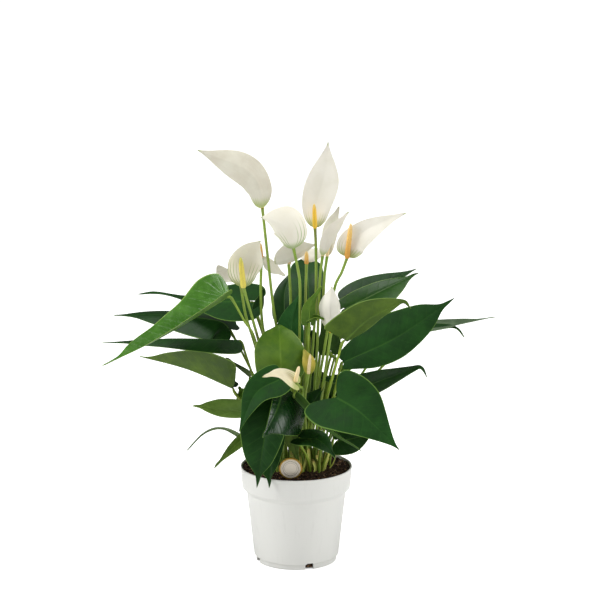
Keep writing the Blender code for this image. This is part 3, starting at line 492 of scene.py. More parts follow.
# Left leaves. Heart and arrow shaped leaves with long drip tips: a leathery blade, glossy above and matt
# below, its midrib and side veins pressed in, and a stem with a swollen joint under the blade.
HEART = ((-0.60, 0.09), (-1.0, 0.42), (-0.62, 0.86), (0.10, 1.0), (0.34, 0.85), (0.56, 0.55), (0.76, 0.25),
         (0.90, 0.07))
BROAD = ((-0.60, 0.09), (-1.0, 0.42), (-0.58, 0.84), (0.12, 1.0), (0.35, 1.0), (0.52, 0.88), (0.70, 0.56),
         (0.84, 0.20), (0.93, 0.05))
OVAL = ((-0.5, 0.18), (-0.5, 0.34), (0.10, 0.62), (0.22, 0.88), (0.36, 1.0), (0.50, 0.95), (0.72, 0.62),
        (0.86, 0.17), (0.93, 0.05))
ARROW = ((-0.60, 0.09), (-1.0, 0.42), (-0.62, 0.86), (0.10, 1.0), (0.27, 0.75), (0.40, 0.62), (0.54, 0.48),
         (0.67, 0.39), (0.78, 0.26), (0.87, 0.08))
TAILED = ((-0.60, 0.09), (-1.0, 0.40), (-0.62, 0.86), (0.08, 1.0), (0.22, 0.92), (0.36, 0.66), (0.48, 0.36),
          (0.58, 0.15), (0.72, 0.06), (0.88, 0.03))
STRAIGHT_LOBED = ((-0.45, 0.25), (-0.92, 0.55), (-1.0, 0.72), (-0.75, 0.92), (0.08, 1.0), (0.34, 0.85),
                  (0.56, 0.55), (0.76, 0.25), (0.90, 0.07))
SIDE_LOBED = ((-0.35, 0.14), (-0.80, 0.42), (-1.0, 0.72), (-0.60, 0.95), (0.08, 1.0), (0.30, 0.92), (0.52, 0.76),
              (0.70, 0.50), (0.84, 0.20), (0.93, 0.05))
ROUND_BASED = ((-0.9, 0.26), (-1.0, 0.55), (-0.72, 0.84), (0.04, 1.0), (0.24, 0.98), (0.45, 0.80), (0.66, 0.50),
               (0.82, 0.20), (0.93, 0.05))
BLUNT = ((-0.60, 0.09), (-1.0, 0.42), (-0.58, 0.84), (0.12, 1.0), (0.40, 1.0), (0.65, 0.98), (0.80, 0.84),
         (0.90, 0.48), (0.96, 0.13))
SINUS_HALF_WIDTH = 1.8
STEM_FOOT = 101.5
BLADE_THICKNESS = 0.62
LEAF_ROWS = 60
LEAF_STEPS = 10
VEIN_SPACING = 13.0
VEIN_SWEEP = 0.85
LONGEST_TANGENT = 1.8


def curve_point(points, span, t):
    """A point of the smooth curve that passes through all the points. A short span never loops."""
    start, end = points[span], points[span + 1]
    before = points[span - 1] if span > 0 else start * 2.0 - end
    after = points[span + 2] if span + 2 < len(points) else end * 2.0 - start
    leaving = (end - before) * 0.5
    arriving = (after - start) * 0.5
    longest = (end - start).length * LONGEST_TANGENT
    for tangent in (leaving, arriving):
        if tangent.length > longest:
            tangent *= longest / tangent.length
    return (start * (2.0 * t ** 3 - 3.0 * t ** 2 + 1.0) + leaving * (t ** 3 - 2.0 * t ** 2 + t)
            + end * (3.0 * t ** 2 - 2.0 * t ** 3) + arriving * (t ** 3 - t ** 2))


class Line:
    """A smooth curve through points, read by length."""

    def __init__(self, points, steps=24):
        points = [Vector(point) for point in points]
        self.dense = [curve_point(points, span, step / steps)
                      for span in range(len(points) - 1) for step in range(steps)]
        self.dense.append(points[-1].copy())
        self.lengths = [0.0]
        for before, after in zip(self.dense, self.dense[1:]):
            self.lengths.append(self.lengths[-1] + (after - before).length)
        self.length = self.lengths[-1]

    def at(self, distance):
        """The point and the direction at a distance from the start."""
        index = min(max(bisect_right(self.lengths, distance) - 1, 0), len(self.dense) - 2)
        start = self.dense[index]
        step = self.dense[index + 1] - start
        direction = step.normalized()
        share = (distance - self.lengths[index]) / max(step.length, 1e-9)
        if index + 2 < len(self.dense):
            direction = direction.lerp((self.dense[index + 2] - self.dense[index + 1]).normalized(),
                                       min(max(share, 0.0), 1.0) * 0.5).normalized()
        return start + step * share, direction


def square_to(direction, up):
    """The part of up that is square to a direction, at unit length."""
    return (up - direction * up.dot(direction)).normalized()


class Blade:
    """A folded and curled sheet round a midrib: it turns flat places (along, side) into points."""

    def __init__(self, spine, face, face_tip, fold, curl, half_width):
        self.line = Line(spine)
        self.length = self.line.length
        self.face = Vector(face).normalized()
        self.face_tip = Vector(face_tip).normalized()
        self.fold = fold
        self.curl = math.radians(curl) / half_width

    def frame(self, along):
        """Centre, direction, upper-face normal and rightward direction at a length along the midrib."""
        share = min(max(along / self.length, 0.0), 1.0)
        centre, direction = self.line.at(min(max(along, 0.0), self.length))
        if along < 0.0:
            centre = centre + direction * along
        normal = square_to(direction, self.face.lerp(self.face_tip, share))
        return centre, direction, normal, direction.cross(normal)

    def point(self, along, side):
        """Surface point and normal at a distance along the midrib and a signed distance from it."""
        centre, _direction, normal, right = self.frame(along)
        share = min(max(along / self.length, 0.0), 1.0)
        fold = math.radians(self.fold[0] + (self.fold[1] - self.fold[0]) * share)
        reach = abs(side)
        way = right if side >= 0.0 else -right
        angle = fold + self.curl * reach
        if abs(self.curl) < 1e-6:
            out, lift = reach * math.cos(fold), reach * math.sin(fold)
        else:
            out = (math.sin(angle) - math.sin(fold)) / self.curl
            lift = (math.cos(fold) - math.cos(angle)) / self.curl
        tilted = normal * math.cos(angle) - way * math.sin(angle)
        return centre + way * out + normal * lift, (tilted if reach > 0.0 else normal)


def half_outline(shape, length, lobe, half_width, rows):
    """Flat points, evenly spread, from the corner of the sinus round one lobe to the tip."""
    points = [Vector((0.0, SINUS_HALF_WIDTH, 0.0))]
    for along, side in shape:
        scale = lobe if along < 0.0 else length
        points.append(Vector((along * scale, max(side * half_width, SINUS_HALF_WIDTH), 0.0)))
    points.append(Vector((length, 0.0, 0.0)))
    outline = Line(points, 16)
    spread = [outline.at(outline.length * step / rows)[0] for step in range(rows + 1)]
    spread[0], spread[-1] = points[0], points[-1]
    return spread


def vein_field(along, side):
    """Counts the side veins: whole numbers fall on a vein. Lobe veins fan out from the junction."""
    start = along - VEIN_SWEEP * side
    if start >= 0.0:
        return start / VEIN_SPACING
    turn_back = math.atan2(side, along) - math.atan2(1.0, VEIN_SWEEP)
    return -max(turn_back, 0.0) / 0.42


def row_shares(reach, steps):
    """Places across a row: a narrow strip at the midrib and at the rim, and even steps between."""
    near = min(0.9, reach * 0.12)
    rim = min(0.35, reach * 0.1)
    inner = [near + (reach - rim - near) * step / (steps - 2) for step in range(steps - 1)]
    return [place / reach if reach > 0.0 else 0.0 for place in [0.0] + inner + [reach]]


def add_sheet(builder, blade, shapes, lobe, widths, thickness, rows, steps, relief):
    """Add a closed thin sheet: two faces with the relief of the veins, and a rim. Shapes and widths are left, right.

    relief(along, side, share) gives the lift of the whole sheet, and the thickening of its lower face, in
    millimetres. The upper face and the rim get the first material, and the lower face gets the second.
    """
    length = blade.length
    outlines = {sign: half_outline(shape, length, lobe, width, rows)
                for sign, shape, width in zip((-1, 1), shapes, widths)}
    lobe_rows = max(index for index in range(rows) if outlines[1][index].x <= 0.0)
    vein_map = builder.loops.layers.uv["vein_map"]
    run_map = builder.loops.layers.uv["run_map"]
    places = {}
    borders, corners = {}, {}

    def skin(around, layer):
        face = builder.faces.new(around)
        face.material_index = 0 if layer == 1 else 1
        for loop in face.loops:
            field, share, run, side = places[loop.vert]
            loop[vein_map].uv = (field, share)
            loop[run_map].uv = (run, side)

    for layer in (1, -1):
        def vertex(along, side, share):
            place, normal = blade.point(along, side)
            lift, thicken = relief(along, side, share)
            offset = layer * thickness / 2.0 * (1.0 - 0.45 * share ** 6) + lift
            made = builder.verts.new(place + normal * (offset - (thicken if layer == -1 else 0.0)))
            places[made] = (vein_field(along, abs(side)), share, along / length, side / max(widths))
            return made

        junction = vertex(0.0, 0.0, 0.0)
        tip = vertex(length, 0.0, 1.0)
        ribs = {index: length * (index - lobe_rows) / (rows - lobe_rows) for index in range(lobe_rows + 1, rows)}
        midrib = {index: vertex(rib, 0.0, 0.0) for index, rib in ribs.items()}
        corners[layer, 0] = junction
        for sign in (-1, 1):
            corner = vertex(0.0, sign * SINUS_HALF_WIDTH, 0.5)
            corners[layer, sign] = corner
            grid = [[corner] * (steps + 1)]
            for index in range(1, rows):
                edge = outlines[sign][index]
                start = Vector((ribs[index], 0.0, 0.0)) if index > lobe_rows else outlines[sign][0]
                row = [midrib[index] if index > lobe_rows else corner]
                for share in row_shares((edge - start).length, steps)[1:]:
                    place = start.lerp(edge, share)
                    row.append(vertex(place.x, sign * place.y, share))
                grid.append(row)
            grid.append([tip] * (steps + 1))
            if lobe_rows == 0:
                grid[0][0] = junction
            else:
                skin((junction, corner, midrib[lobe_rows + 1]), layer)
            for near, far in zip(grid[min(lobe_rows, 1):], grid[min(lobe_rows, 1) + 1:]):
                for step in range(steps):
                    around = [near[step], near[step + 1], far[step + 1], far[step]]
                    around = [each for place, each in enumerate(around) if each not in around[:place]]
                    if len(around) > 2:
                        skin(around, layer)
            border = grid[1] if lobe_rows > 0 else [corner, grid[1][-1]]
            borders[layer, sign] = border + [row[-1] for row in grid[2:]]
    for sign in (-1, 1):
        top, bottom = borders[1, sign], borders[-1, sign]
        for index in range(len(top) - 1):
            skin([top[index], top[index + 1], bottom[index + 1], bottom[index]], 1)
    ring_at_sinus = [corners[key] for key in ((1, -1), (1, 0), (1, 1), (-1, 1), (-1, 0), (-1, -1))]
    skin([ring_at_sinus[index] for index in (0, 1, 4, 5)], 1)
    skin([ring_at_sinus[index] for index in (1, 2, 3, 4)], 1)


def add_rod(builder, line, stops, radii, sides, up, material_index):
    """Add a round rod along a line, closed at both ends. Its map runs (distance, turn)."""
    run_map = builder.loops.layers.uv["run_map"]
    marks = {}
    rings = []
    side_way = None
    for stop, radius in zip(stops, radii):
        place, heading = line.at(stop)
        up = square_to(heading, up)
        side_way = heading.cross(up)
        rings.append([])
        for index in range(sides):
            angle = math.tau * index / sides
            made = builder.verts.new(place + (side_way * math.cos(angle) + up * math.sin(angle)) * radius)
            marks[made] = (stop / 100.0, index / sides)
            rings[-1].append(made)
    faces = [builder.faces.new(list(reversed(rings[0]))), builder.faces.new(rings[-1])]
    for lower, upper in zip(rings, rings[1:]):
        for index in range(sides):
            after = (index + 1) % sides
            faces.append(builder.faces.new((lower[index], lower[after], upper[after], upper[index])))
    for face in faces:
        face.material_index = material_index
        wraps = any(marks[loop.vert][1] > 0.7 for loop in face.loops)
        for loop in face.loops:
            run, turned_by = marks[loop.vert]
            loop[run_map].uv = (run, turned_by + (1.0 if wraps and turned_by < 0.3 else 0.0))
    return rings


def leaf_stem(blade, foot, stem, knee):
    """The line of a leaf's stem, from the junction under the blade down into the soil."""
    centre, direction, normal, _right = blade.frame(0.0)
    bend = centre - direction * knee[0] - normal * knee[1]
    ground = Vector((foot[0], foot[1], STEM_FOOT + 2.8))
    rise = bend - ground
    guide = [centre, bend]
    if stem:
        guide += [Vector(point) for point in reversed(stem)]
    else:
        guide.append(ground + Vector((rise.x * 0.38, rise.y * 0.38, rise.z * 0.55)))
    guide += [ground + Vector((rise.x * 0.05, rise.y * 0.05, rise.z * 0.16)), ground,
              ground - Vector((rise.x * 0.01, rise.y * 0.01, 3.0))]
    return Line(guide)


def stem_radius(run, length):
    """A leaf stem is thin where it meets the blade, swollen just below, slim, and stout at the soil."""
    joint = math.exp(-((run - 7.5) / 4.2) ** 2) * 0.55
    foot_swell = 0.35 * max(0.0, 1.0 - (length - run) / 38.0) ** 1.5
    return (1.28 + joint + foot_swell) * min(1.0, 0.55 + run / 4.0)


def blade_marks():
    """Node group for leaf blades: where the veins, the midrib and the margin run, and the skin's mottle."""
    group = bpy.data.node_groups.new("blade_marks", "ShaderNodeTree")
    for name, value in (("Wander", 0.16), ("Vein Width", 0.06)):
        group.interface.new_socket(name, in_out="INPUT", socket_type="NodeSocketFloat").default_value = value
    for name in ("Veins", "Midrib", "Margin", "Mottle", "Height"):
        group.interface.new_socket(name, in_out="OUTPUT", socket_type="NodeSocketFloat")
    inside = add_node(group, "NodeGroupInput")
    outside = add_node(group, "NodeGroupOutput")
    spot = add_node(group, "ShaderNodeSeparateXYZ", {0: add_node(group, "ShaderNodeUVMap", uv_map="vein_map").outputs[0]})
    place = add_node(group, "ShaderNodeTexCoord").outputs["Object"]
    drift = add_node(group, "ShaderNodeTexNoise", {"Vector": place, "Scale": 70.0, "Detail": 2.0}).outputs["Fac"]
    wander = sum_of(group, "MULTIPLY", sum_of(group, "SUBTRACT", drift, 0.5), inside.outputs["Wander"])
    field = sum_of(group, "ADD", spot.outputs["X"], wander)
    gap = sum_of(group, "PINGPONG", field, 0.5)
    main = add_node(group, "ShaderNodeMapRange", {"Value": gap, "From Min": 0.0, "From Max": inside.outputs["Vein Width"],
                                                  "To Min": 1.0, "To Max": 0.0}, interpolation_type="SMOOTHSTEP").outputs[0]
    minor = sum_of(group, "MULTIPLY", ranged(group, gap, 0.5, 0.455), 0.35)
    fade = ranged(group, spot.outputs["Y"], 0.97, 0.72)
    veins = sum_of(group, "MULTIPLY", sum_of(group, "MAXIMUM", main, sum_of(group, "SUBTRACT", 0.35, minor)), fade)
    ring_vein = sum_of(group, "MULTIPLY", ranged(group, sum_of(group, "ABSOLUTE", sum_of(
        group, "SUBTRACT", spot.outputs["Y"], 0.9)), 0.02, 0.006), 0.5)
    net = add_node(group, "ShaderNodeTexVoronoi", {"Vector": place, "Scale": 420.0}, feature="DISTANCE_TO_EDGE").outputs[0]
    cells = ranged(group, net, 0.0, 0.18)
    mottle = add_node(group, "ShaderNodeTexNoise", {"Vector": place, "Scale": 42.0, "Detail": 5.0,
                                                    "Roughness": 0.62}).outputs["Fac"]
    all_veins = sum_of(group, "MAXIMUM", veins, ring_vein)
    height = sum_of(group, "SUBTRACT", sum_of(group, "MULTIPLY", cells, 0.22), sum_of(group, "MULTIPLY", all_veins, 0.9))
    for socket, value in (("Veins", all_veins), ("Midrib", ranged(group, spot.outputs["Y"], 0.05, 0.012)),
                          ("Margin", ranged(group, spot.outputs["Y"], 0.955, 0.985)), ("Mottle", mottle),
                          ("Height", height)):
        group.links.new(value, outside.inputs[socket])
    return group


leaf_marks = blade_marks()


def leaf_finishes(name, upper, upper_light, vein, margin, under, under_light, stem, stem_light, gloss=0.3,
                  veined=0.10, shine=0.2, blister=0.3):
    """The three materials of a leaf: glossy upper face, matt lower face, and stem."""
    finishes = []
    for face, dark, light, roughness, depth in (("upper", upper, upper_light, gloss, 0.30),
                                                ("under", under, under_light, 0.5, -0.35)):
        made, tree, shader = new_finish(f"{name}_{face}", Specular_IOR_Level=shine)
        marks = add_node(tree, "ShaderNodeGroup", node_tree=leaf_marks)
        run = add_node(tree, "ShaderNodeSeparateXYZ", {0: add_node(tree, "ShaderNodeUVMap", uv_map="run_map").outputs[0]})
        patches = mixed(tree, ranged(tree, marks.outputs["Mottle"], 0.36, 0.68), tone(*dark), tone(*light))
        veined_skin = mixed(tree, sum_of(tree, "MULTIPLY", marks.outputs["Veins"], veined), patches, tone(*vein))
        rib = sum_of(tree, "MULTIPLY", marks.outputs["Midrib"], ranged(tree, run.outputs["X"], 0.0, 0.75, 0.6, 0.16))
        ribbed = mixed(tree, rib, veined_skin, tone(*vein))
        edged = mixed(tree, sum_of(tree, "MULTIPLY", marks.outputs["Margin"], 0.8), ribbed, tone(*margin))
        tree.links.new(edged, shader.inputs["Base Color"])
        tree.links.new(ranged(tree, marks.outputs["Mottle"], 0.3, 0.7, roughness - 0.05, roughness + 0.08),
                       shader.inputs["Roughness"])
        emboss(tree, shader, marks.outputs["Height"], depth, blister)
        finishes.append(made)
    made, tree, shader = new_finish(f"{name}_stem", Roughness=0.42, Specular_IOR_Level=0.35)
    run = add_node(tree, "ShaderNodeSeparateXYZ", {0: add_node(tree, "ShaderNodeUVMap", uv_map="run_map").outputs[0]})
    stretched = add_node(tree, "ShaderNodeMapping", {"Vector": add_node(tree, "ShaderNodeTexCoord").outputs["Object"],
                                                     "Scale": (1.0, 1.0, 0.15)}).outputs[0]
    streaks = add_node(tree, "ShaderNodeTexNoise", {"Vector": stretched, "Scale": 800.0, "Detail": 3.0}).outputs["Fac"]
    # Darker from the blade down towards the soil: painted shade under the leaves, over the stem's own lighter green
    # near the blade.
    shade_toward_soil = ranged(tree, run.outputs["X"], 0.1, 1.3, 0.9, 0.1)
    body = mixed(tree, sum_of(tree, "MULTIPLY_ADD", streaks, 0.4, sum_of(tree, "MULTIPLY", shade_toward_soil, 0.6)),
                 tone(*stem), tone(*stem_light))
    # Low down the stem is mixed further towards dark green: painted shade at the crown.
    lower = mixed(tree, ranged(tree, run.outputs["X"], 0.6, 1.5, 0.0, 0.6), body, tone(56, 82, 24))
    joint = ranged(tree, run.outputs["X"], 0.17, 0.1, 0.0, 0.45)
    tree.links.new(mixed(tree, joint, lower, tone(*under)), shader.inputs["Base Color"])
    emboss(tree, shader, streaks, 0.12, 0.5)
    finishes.append(made)
    return finishes


dark_leaf = leaf_finishes("dark_leaf", (17, 52, 12), (26, 66, 17), (74, 114, 42), (112, 146, 66), (42, 72, 22),
                          (58, 88, 30), (90, 120, 32), (140, 164, 52), gloss=0.42)
satin_leaf = leaf_finishes("satin_leaf", (19, 56, 14), (28, 70, 20), (56, 98, 34), (104, 140, 60), (42, 72, 22),
                           (58, 88, 30), (90, 120, 32), (140, 164, 52), gloss=0.6, shine=0.14)
glossy_leaf = leaf_finishes("glossy_leaf", (12, 42, 14), (22, 56, 18), (74, 114, 42), (112, 146, 66), (42, 72, 22),
                            (58, 88, 30), (90, 120, 32), (140, 164, 52), gloss=0.13, shine=0.28, blister=0.8)
bright_leaf = leaf_finishes("bright_leaf", (54, 100, 24), (72, 122, 32), (118, 154, 66), (150, 180, 88), (62, 100, 28),
                            (84, 122, 38), (100, 134, 38), (150, 176, 62), gloss=0.2, shine=0.45, blister=0.35, veined=0.03)
spring_leaf = leaf_finishes("spring_leaf", (70, 106, 26), (94, 128, 34), (124, 154, 58), (150, 176, 80), (70, 104, 28),
                            (90, 124, 36), (100, 134, 38), (150, 176, 62), gloss=0.36)
olive_leaf = leaf_finishes("olive_leaf", (34, 72, 18), (46, 86, 24), (98, 130, 50), (130, 160, 76), (60, 86, 22),
                           (80, 106, 30), (106, 138, 34), (156, 178, 58), gloss=0.34)
moss_leaf = leaf_finishes("moss_leaf", (64, 90, 26), (84, 108, 34), (112, 136, 56), (140, 162, 78), (64, 90, 26),
                          (84, 108, 34), (100, 130, 38), (146, 168, 58), gloss=0.38)
# Painted light: the spring leaf's tones made about 1.4 times lighter, for a leaf that would otherwise fall in shade.
painted_light_leaf = leaf_finishes("painted_light_leaf", (102, 134, 58), (124, 154, 72), (134, 158, 86), (154, 178, 100), (84, 118, 44),
                          (104, 136, 54), (100, 134, 38), (150, 176, 62), gloss=0.36)
# Painted sheen: lighter, greyer leaf tones that paint in the grey reflection of the white surroundings on leaves seen
# at a grazing angle.
painted_sheen_leaf = leaf_finishes("painted_sheen_leaf", (70, 92, 62), (98, 118, 88), (128, 144, 114), (122, 142, 104), (84, 108, 62),
                          (106, 128, 78), (100, 134, 38), (150, 176, 62), gloss=0.5)
deep_leaf = leaf_finishes("deep_leaf", (22, 70, 30), (32, 86, 38), (70, 122, 60), (96, 144, 80), (34, 88, 34),
                          (48, 104, 44), (90, 120, 32), (140, 164, 52), gloss=0.4)
LEAF_LOOKS = {"leaf_dark": dark_leaf, "leaf_bright": bright_leaf, "leaf_olive": olive_leaf}


def leaf_relief(seed, half_width, quilt=0.16, ripple=1.5):
    """The lift of a leaf's skin: raised between the veins, wavy to the margin, ribbed below."""
    def relief(along, side, share):
        field = vein_field(along, abs(side))
        between = abs(math.sin(math.pi * field)) ** 0.7 - 0.5
        window = min(share / 0.2, 1.0) * min((1.0 - share) / 0.15, 1.0)
        wave = noise.noise(Vector((along * 0.035, side * 0.03, seed))) * ripple * share ** 1.5
        groove = -0.28 * math.exp(-(side / 1.3) ** 2)
        rib = 0.75 * math.exp(-(side / 1.0) ** 2) * max(0.0, 1.0 - along / 240.0)
        return quilt * between * window + wave * min(half_width / 25.0, 1.0) + groove, rib
    return relief


def grow_leaf(node, foot, spine, face, widths, shape=HEART, lobe=12.0, fold=(18.0, 8.0), curl=-12.0, stem=(),
              knee=(4.0, 4.0), face_tip=None, left_shape=None, look="leaf_dark", finishes=None, replaced=True):
    """One leaf grown with its stem, in the place of its node."""
    builder = bmesh.new()
    builder.loops.layers.uv.new("vein_map")
    builder.loops.layers.uv.new("run_map")
    blade = Blade(spine, face, face_tip or face, fold, curl, max(widths))
    seed = len(node) * 1.7 + widths[0] * 0.31 + foot[0] * 0.13
    add_sheet(builder, blade, (left_shape or shape, shape), lobe, widths, BLADE_THICKNESS, LEAF_ROWS, LEAF_STEPS,
              leaf_relief(seed, max(widths)))
    line = leaf_stem(blade, foot, stem, knee)
    stops = [0.25, 1.2, 2.4, 4.0, 6.0, 8.0, 10.5, 13.5]
    count = max(int((line.length - 13.5) / 6.0), 4)
    stops += [13.5 + (line.length - 13.5) * step / count for step in range(1, count + 1)]
    radii = [stem_radius(stop, line.length) for stop in stops]
    add_rod(builder, line, stops, radii, 10, blade.frame(0.0)[2], 2)
    made = make_piece(f"{node}_live", builder, finishes or LEAF_LOOKS[look], sharp=70.0)
    if replaced:
        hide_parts(node)
    return made


grow_leaf("leaf_bright_left", foot=(-17, -6), spine=((-74, -22, 297), (-140, -36, 259), (-206, -46, 228)),
          face=(-0.3, -0.2, 0.95), shape=ARROW, widths=(38, 38), lobe=8, fold=(32, 24), curl=0,
          stem=((-44, -12, 248), (-55, -16, 269)), look="leaf_bright")
grow_leaf("leaf_dark_left_upper", foot=(-19, 10), spine=((-71, 39, 246), (-86, 43, 255), (-141, 51, 259), (-198, 57, 258)),
          face=(0.1, -0.3, 0.95), shape=ROUND_BASED, widths=(29, 27), lobe=6, fold=(-16, -8),
          stem=((-38, 22, 180), (-64, 43, 230)))
grow_leaf("leaf_dark_left_long", foot=(-18, 2), spine=((-62, 2, 244), (-133, -4, 247), (-208, 2, 241)),
          face=(0, -0.05, 1), shape=ROUND_BASED, widths=(22, 22), lobe=4, fold=(-22, -12), stem=((-47, 0, 206),))
grow_leaf("leaf_olive_left", foot=(-24, 2), spine=((-68, 5, 190), (-117, 25, 206), (-170, 45, 215)),
          face=(0.1, 0.36, 0.93), shape=ROUND_BASED, widths=(40, 13), lobe=2, fold=(40, 30), curl=0, look="leaf_olive")
grow_leaf("leaf_small_left", foot=(-24, -14), spine=((-56, -18, 170), (-82, -22, 173), (-111, -26, 179)),
          face=(0, -0.4, 0.9), shape=BROAD, widths=(15, 17), lobe=8, look="leaf_olive", finishes=painted_light_leaf)
grow_leaf("leaf_thin_left", foot=(-22, -6), spine=((-61, 5, 135), (-80, 0, 146), (-99, -4, 142), (-118, -8, 124)),
          face=(0, 0.28, 0.96), widths=(9, 9), lobe=5, look="leaf_olive", finishes=painted_sheen_leaf)
grow_leaf("leaf_low_left", foot=(-20, -22), spine=((-56, -18, 141), (-71, -26, 129), (-88, -34, 112)),
          face=(-0.4, -0.5, 0.7), widths=(11, 7), lobe=6, look="leaf_olive", finishes=moss_leaf)


# Front leaves. The leaves that hang over the front of the pot with their faces out, some of them folded or
# seen on edge, and one young pale leaf that arches back over them.
grow_leaf("leaf_light_centre", foot=(-2, -14), spine=((-16, -24, 211), (-17, -30, 243), (-18, -22, 265), (-17, -4, 261)),
          face=(0, -1, 0.1), face_tip=(0, 0.5, 1), shape=BROAD, widths=(30, 28), lobe=8, fold=(-14, -24), knee=(8, 0),
          look="leaf_bright", finishes=spring_leaf)
grow_leaf("leaf_front_left_upper", foot=(1, -22), spine=((-17, -42, 212.5), (-43, -52, 199), (-61, -62, 160)),
          face=(-0.35, -0.8, 0.5), widths=(20, 19), lobe=6, finishes=satin_leaf, stem=((-4, -22, 190), (-6, -28, 204)))
grow_leaf("leaf_front_left_low", foot=(-13, -22), spine=((-23, -30, 198), (-32, -56, 161), (-42, -70, 100)),
          face=(-0.1, -0.95, 0.3), shape=OVAL, widths=(21, 28), lobe=4, stem=((-11, -23, 160), (-15, -24, 190)))
grow_leaf("leaf_front_behind", foot=(-16, -14), spine=((-22, -24, 183), (-26, -44, 135), (-29, -60, 97)),
          face=(-0.1, -0.9, 0.4), shape=OVAL, widths=(14, 34), lobe=4, stem=((-18.5, -12, 168),), knee=(4, 8))
grow_leaf("leaf_front_glossy", foot=(-6, -22), spine=((-14, -35, 200), (-22, -66, 183), (-35, -88, 161)),
          face=(0.5, -0.7, 0.5), shape=BROAD, widths=(48, 8), lobe=3, fold=(14, 8), curl=-70.0,
          stem=((-5, -27, 160), (-9, -30, 186)), knee=(1.0, 5.0),
          finishes=glossy_leaf)
grow_leaf("leaf_front_edge", foot=(8, -22), spine=((-1, -46, 193), (30, -57, 163), (69, -80, 145)),
          face=(0.3, 0.35, 0.85), widths=(14, 11), lobe=3, fold=(40, 28),
          stem=((1.3, -25.6, 180), (0.8, -28.4, 191), (-1, -38, 196)), knee=(2.0, 0.5))
grow_leaf("leaf_front_right", foot=(24, -22), spine=((42, -54, 196), (69, -76, 184), (109, -98, 150)),
          face=(0.15, -0.8, 0.55), shape=STRAIGHT_LOBED, widths=(37, 39), lobe=17, fold=(6, 4),
          finishes=satin_leaf)
grow_leaf("leaf_low_front", foot=(15, -22), spine=((4, -38, 146), (25, -50, 147), (42, -58, 130)),
          face=(0.2, -0.5, 0.85), shape=BROAD, widths=(13, 17), lobe=6)
grow_leaf("leaf_low_right", foot=(28, -14), spine=((45, -14, 136), (64, -23, 142), (85, -32, 150)),
          face=(0, -0.8, 0.6), shape=BROAD, widths=(18, 19), lobe=6)


# Right leaves. Large dark leaves that stand out to the right, most of them seen from the side or on edge,
# and one lighter leaf in front that shows its olive lower face and its pale midrib.
grow_leaf("leaf_right_big", foot=(30, -6), spine=((50, -20, 225), (108, -34, 257), (168, -42, 302)),
          face=(0.1, -0.85, 0.5), shape=OVAL, widths=(29, 22), lobe=4, fold=(4, 2), finishes=satin_leaf)
grow_leaf("leaf_right_olive", foot=(20, -14),
          spine=((52, -45, 256), (78, -55, 283), (110, -58, 300), (121, -58, 294)), face=(-0.1, 0.85, 0.5),
          shape=SIDE_LOBED, left_shape=OVAL, widths=(11, 31), lobe=2, fold=(8, 4),
          stem=((33, -30, 189), (37, -33, 205), (45, -40, 238)),
          knee=(5, 0), look="leaf_olive")
grow_leaf("leaf_right_upper_front", foot=(20, 18), spine=((52, 22, 273), (95, 34, 292), (132, 44, 308)),
          face=(0, -0.5, 0.85), shape=BROAD, widths=(14, 27), lobe=10, finishes=olive_leaf)
grow_leaf("leaf_right_upper_back", foot=(13, 18), spine=((60, 52, 272), (91, 68, 288), (131, 84, 303)),
          face=(-0.2, -0.6, 0.8), widths=(22, 20), lobe=8)
grow_leaf("leaf_far_right", foot=(30, 10), spine=((103, 25, 246), (155, 40, 248), (215, 50, 258)),
          face=(0, 0.08, 1), shape=BROAD, widths=(29, 29), lobe=14, finishes=painted_sheen_leaf)
grow_leaf("leaf_right_middle", foot=(36, 2),
          spine=((58, 0, 187), (95, 3, 200), (125, 5, 211), (134, 6, 212), (141, 6, 201)), face=(0, -0.5, 0.85),
          widths=(17, 21), lobe=10)


# Centre and back leaves. Leaves that stand up behind the flowers, two young ones among the stems, and the
# low leaves at the back of the pot.
grow_leaf("leaf_blue_centre", foot=(1, 3), spine=((-6, 4, 243), (-3, 10, 268), (4, 12, 294)), face=(0.4, 1, 0.3),
          widths=(14, 20), lobe=8, fold=(12, 6), knee=(8, 0), finishes=deep_leaf)
grow_leaf("leaf_back_tall", foot=(4, 18), spine=((14, 40, 265), (13, 66, 294), (12, 98, 314)),
          face=(0, -0.6, 0.8), shape=BLUNT, widths=(20, 17), lobe=12)
grow_leaf("leaf_back_left_tall", foot=(-4, 18), spine=((-13, 52, 258), (-12, 74, 282), (0, 98, 303)),
          face=(0, -0.6, 0.8), widths=(14, 20), lobe=10)
grow_leaf("leaf_back_left", foot=(-7, 10),
          spine=((-50, 34, 278), (-105, 46, 276), (-145, 52, 283), (-172, 56, 281)), face=(0, -0.6, 0.8),
          shape=TAILED, widths=(27, 27), lobe=16, fold=(4, 2), finishes=satin_leaf)
grow_leaf("leaf_light_small", foot=(6, -6), spine=((14, -12, 267), (15, -12, 285), (27, -8, 306)),
          face=(-0.2, 1, 0.2), widths=(8, 9), lobe=4, knee=(6, 0), look="leaf_bright", finishes=spring_leaf)
grow_leaf("leaf_inner_right", foot=(27, 2), spine=((36, 6, 231), (34, 9, 250), (28, 12, 272)), face=(0.1, 1, 0.2),
          widths=(13, 13), lobe=5, fold=(10, 6), stem=((33, 0, 183), (39, 3, 205), (43, 5, 222)), knee=(5, 0))
grow_leaf("leaf_rear", foot=(-12, 18), spine=((-8, 54, 190), (-14, 100, 194), (-24, 138, 158)), face=(0, 0.2, 1),
          widths=(34, 34), lobe=14)


# Crown. At the soil the stems stand in the thin dry sheaths of older leaves and the stubs of cut stems, and
# small young leaves grow up between them. All of it is rooted in the peat with the rest of the plant.
SHEATHS = 70
STUBS = 14
STRIP = ((0.02, 0.9), (0.2, 1.0), (0.5, 0.85), (0.75, 0.5), (0.93, 0.15))
CROWN_CENTRE = (4.0, -4.0)
CROWN_REACH = (31.0, 22.0)

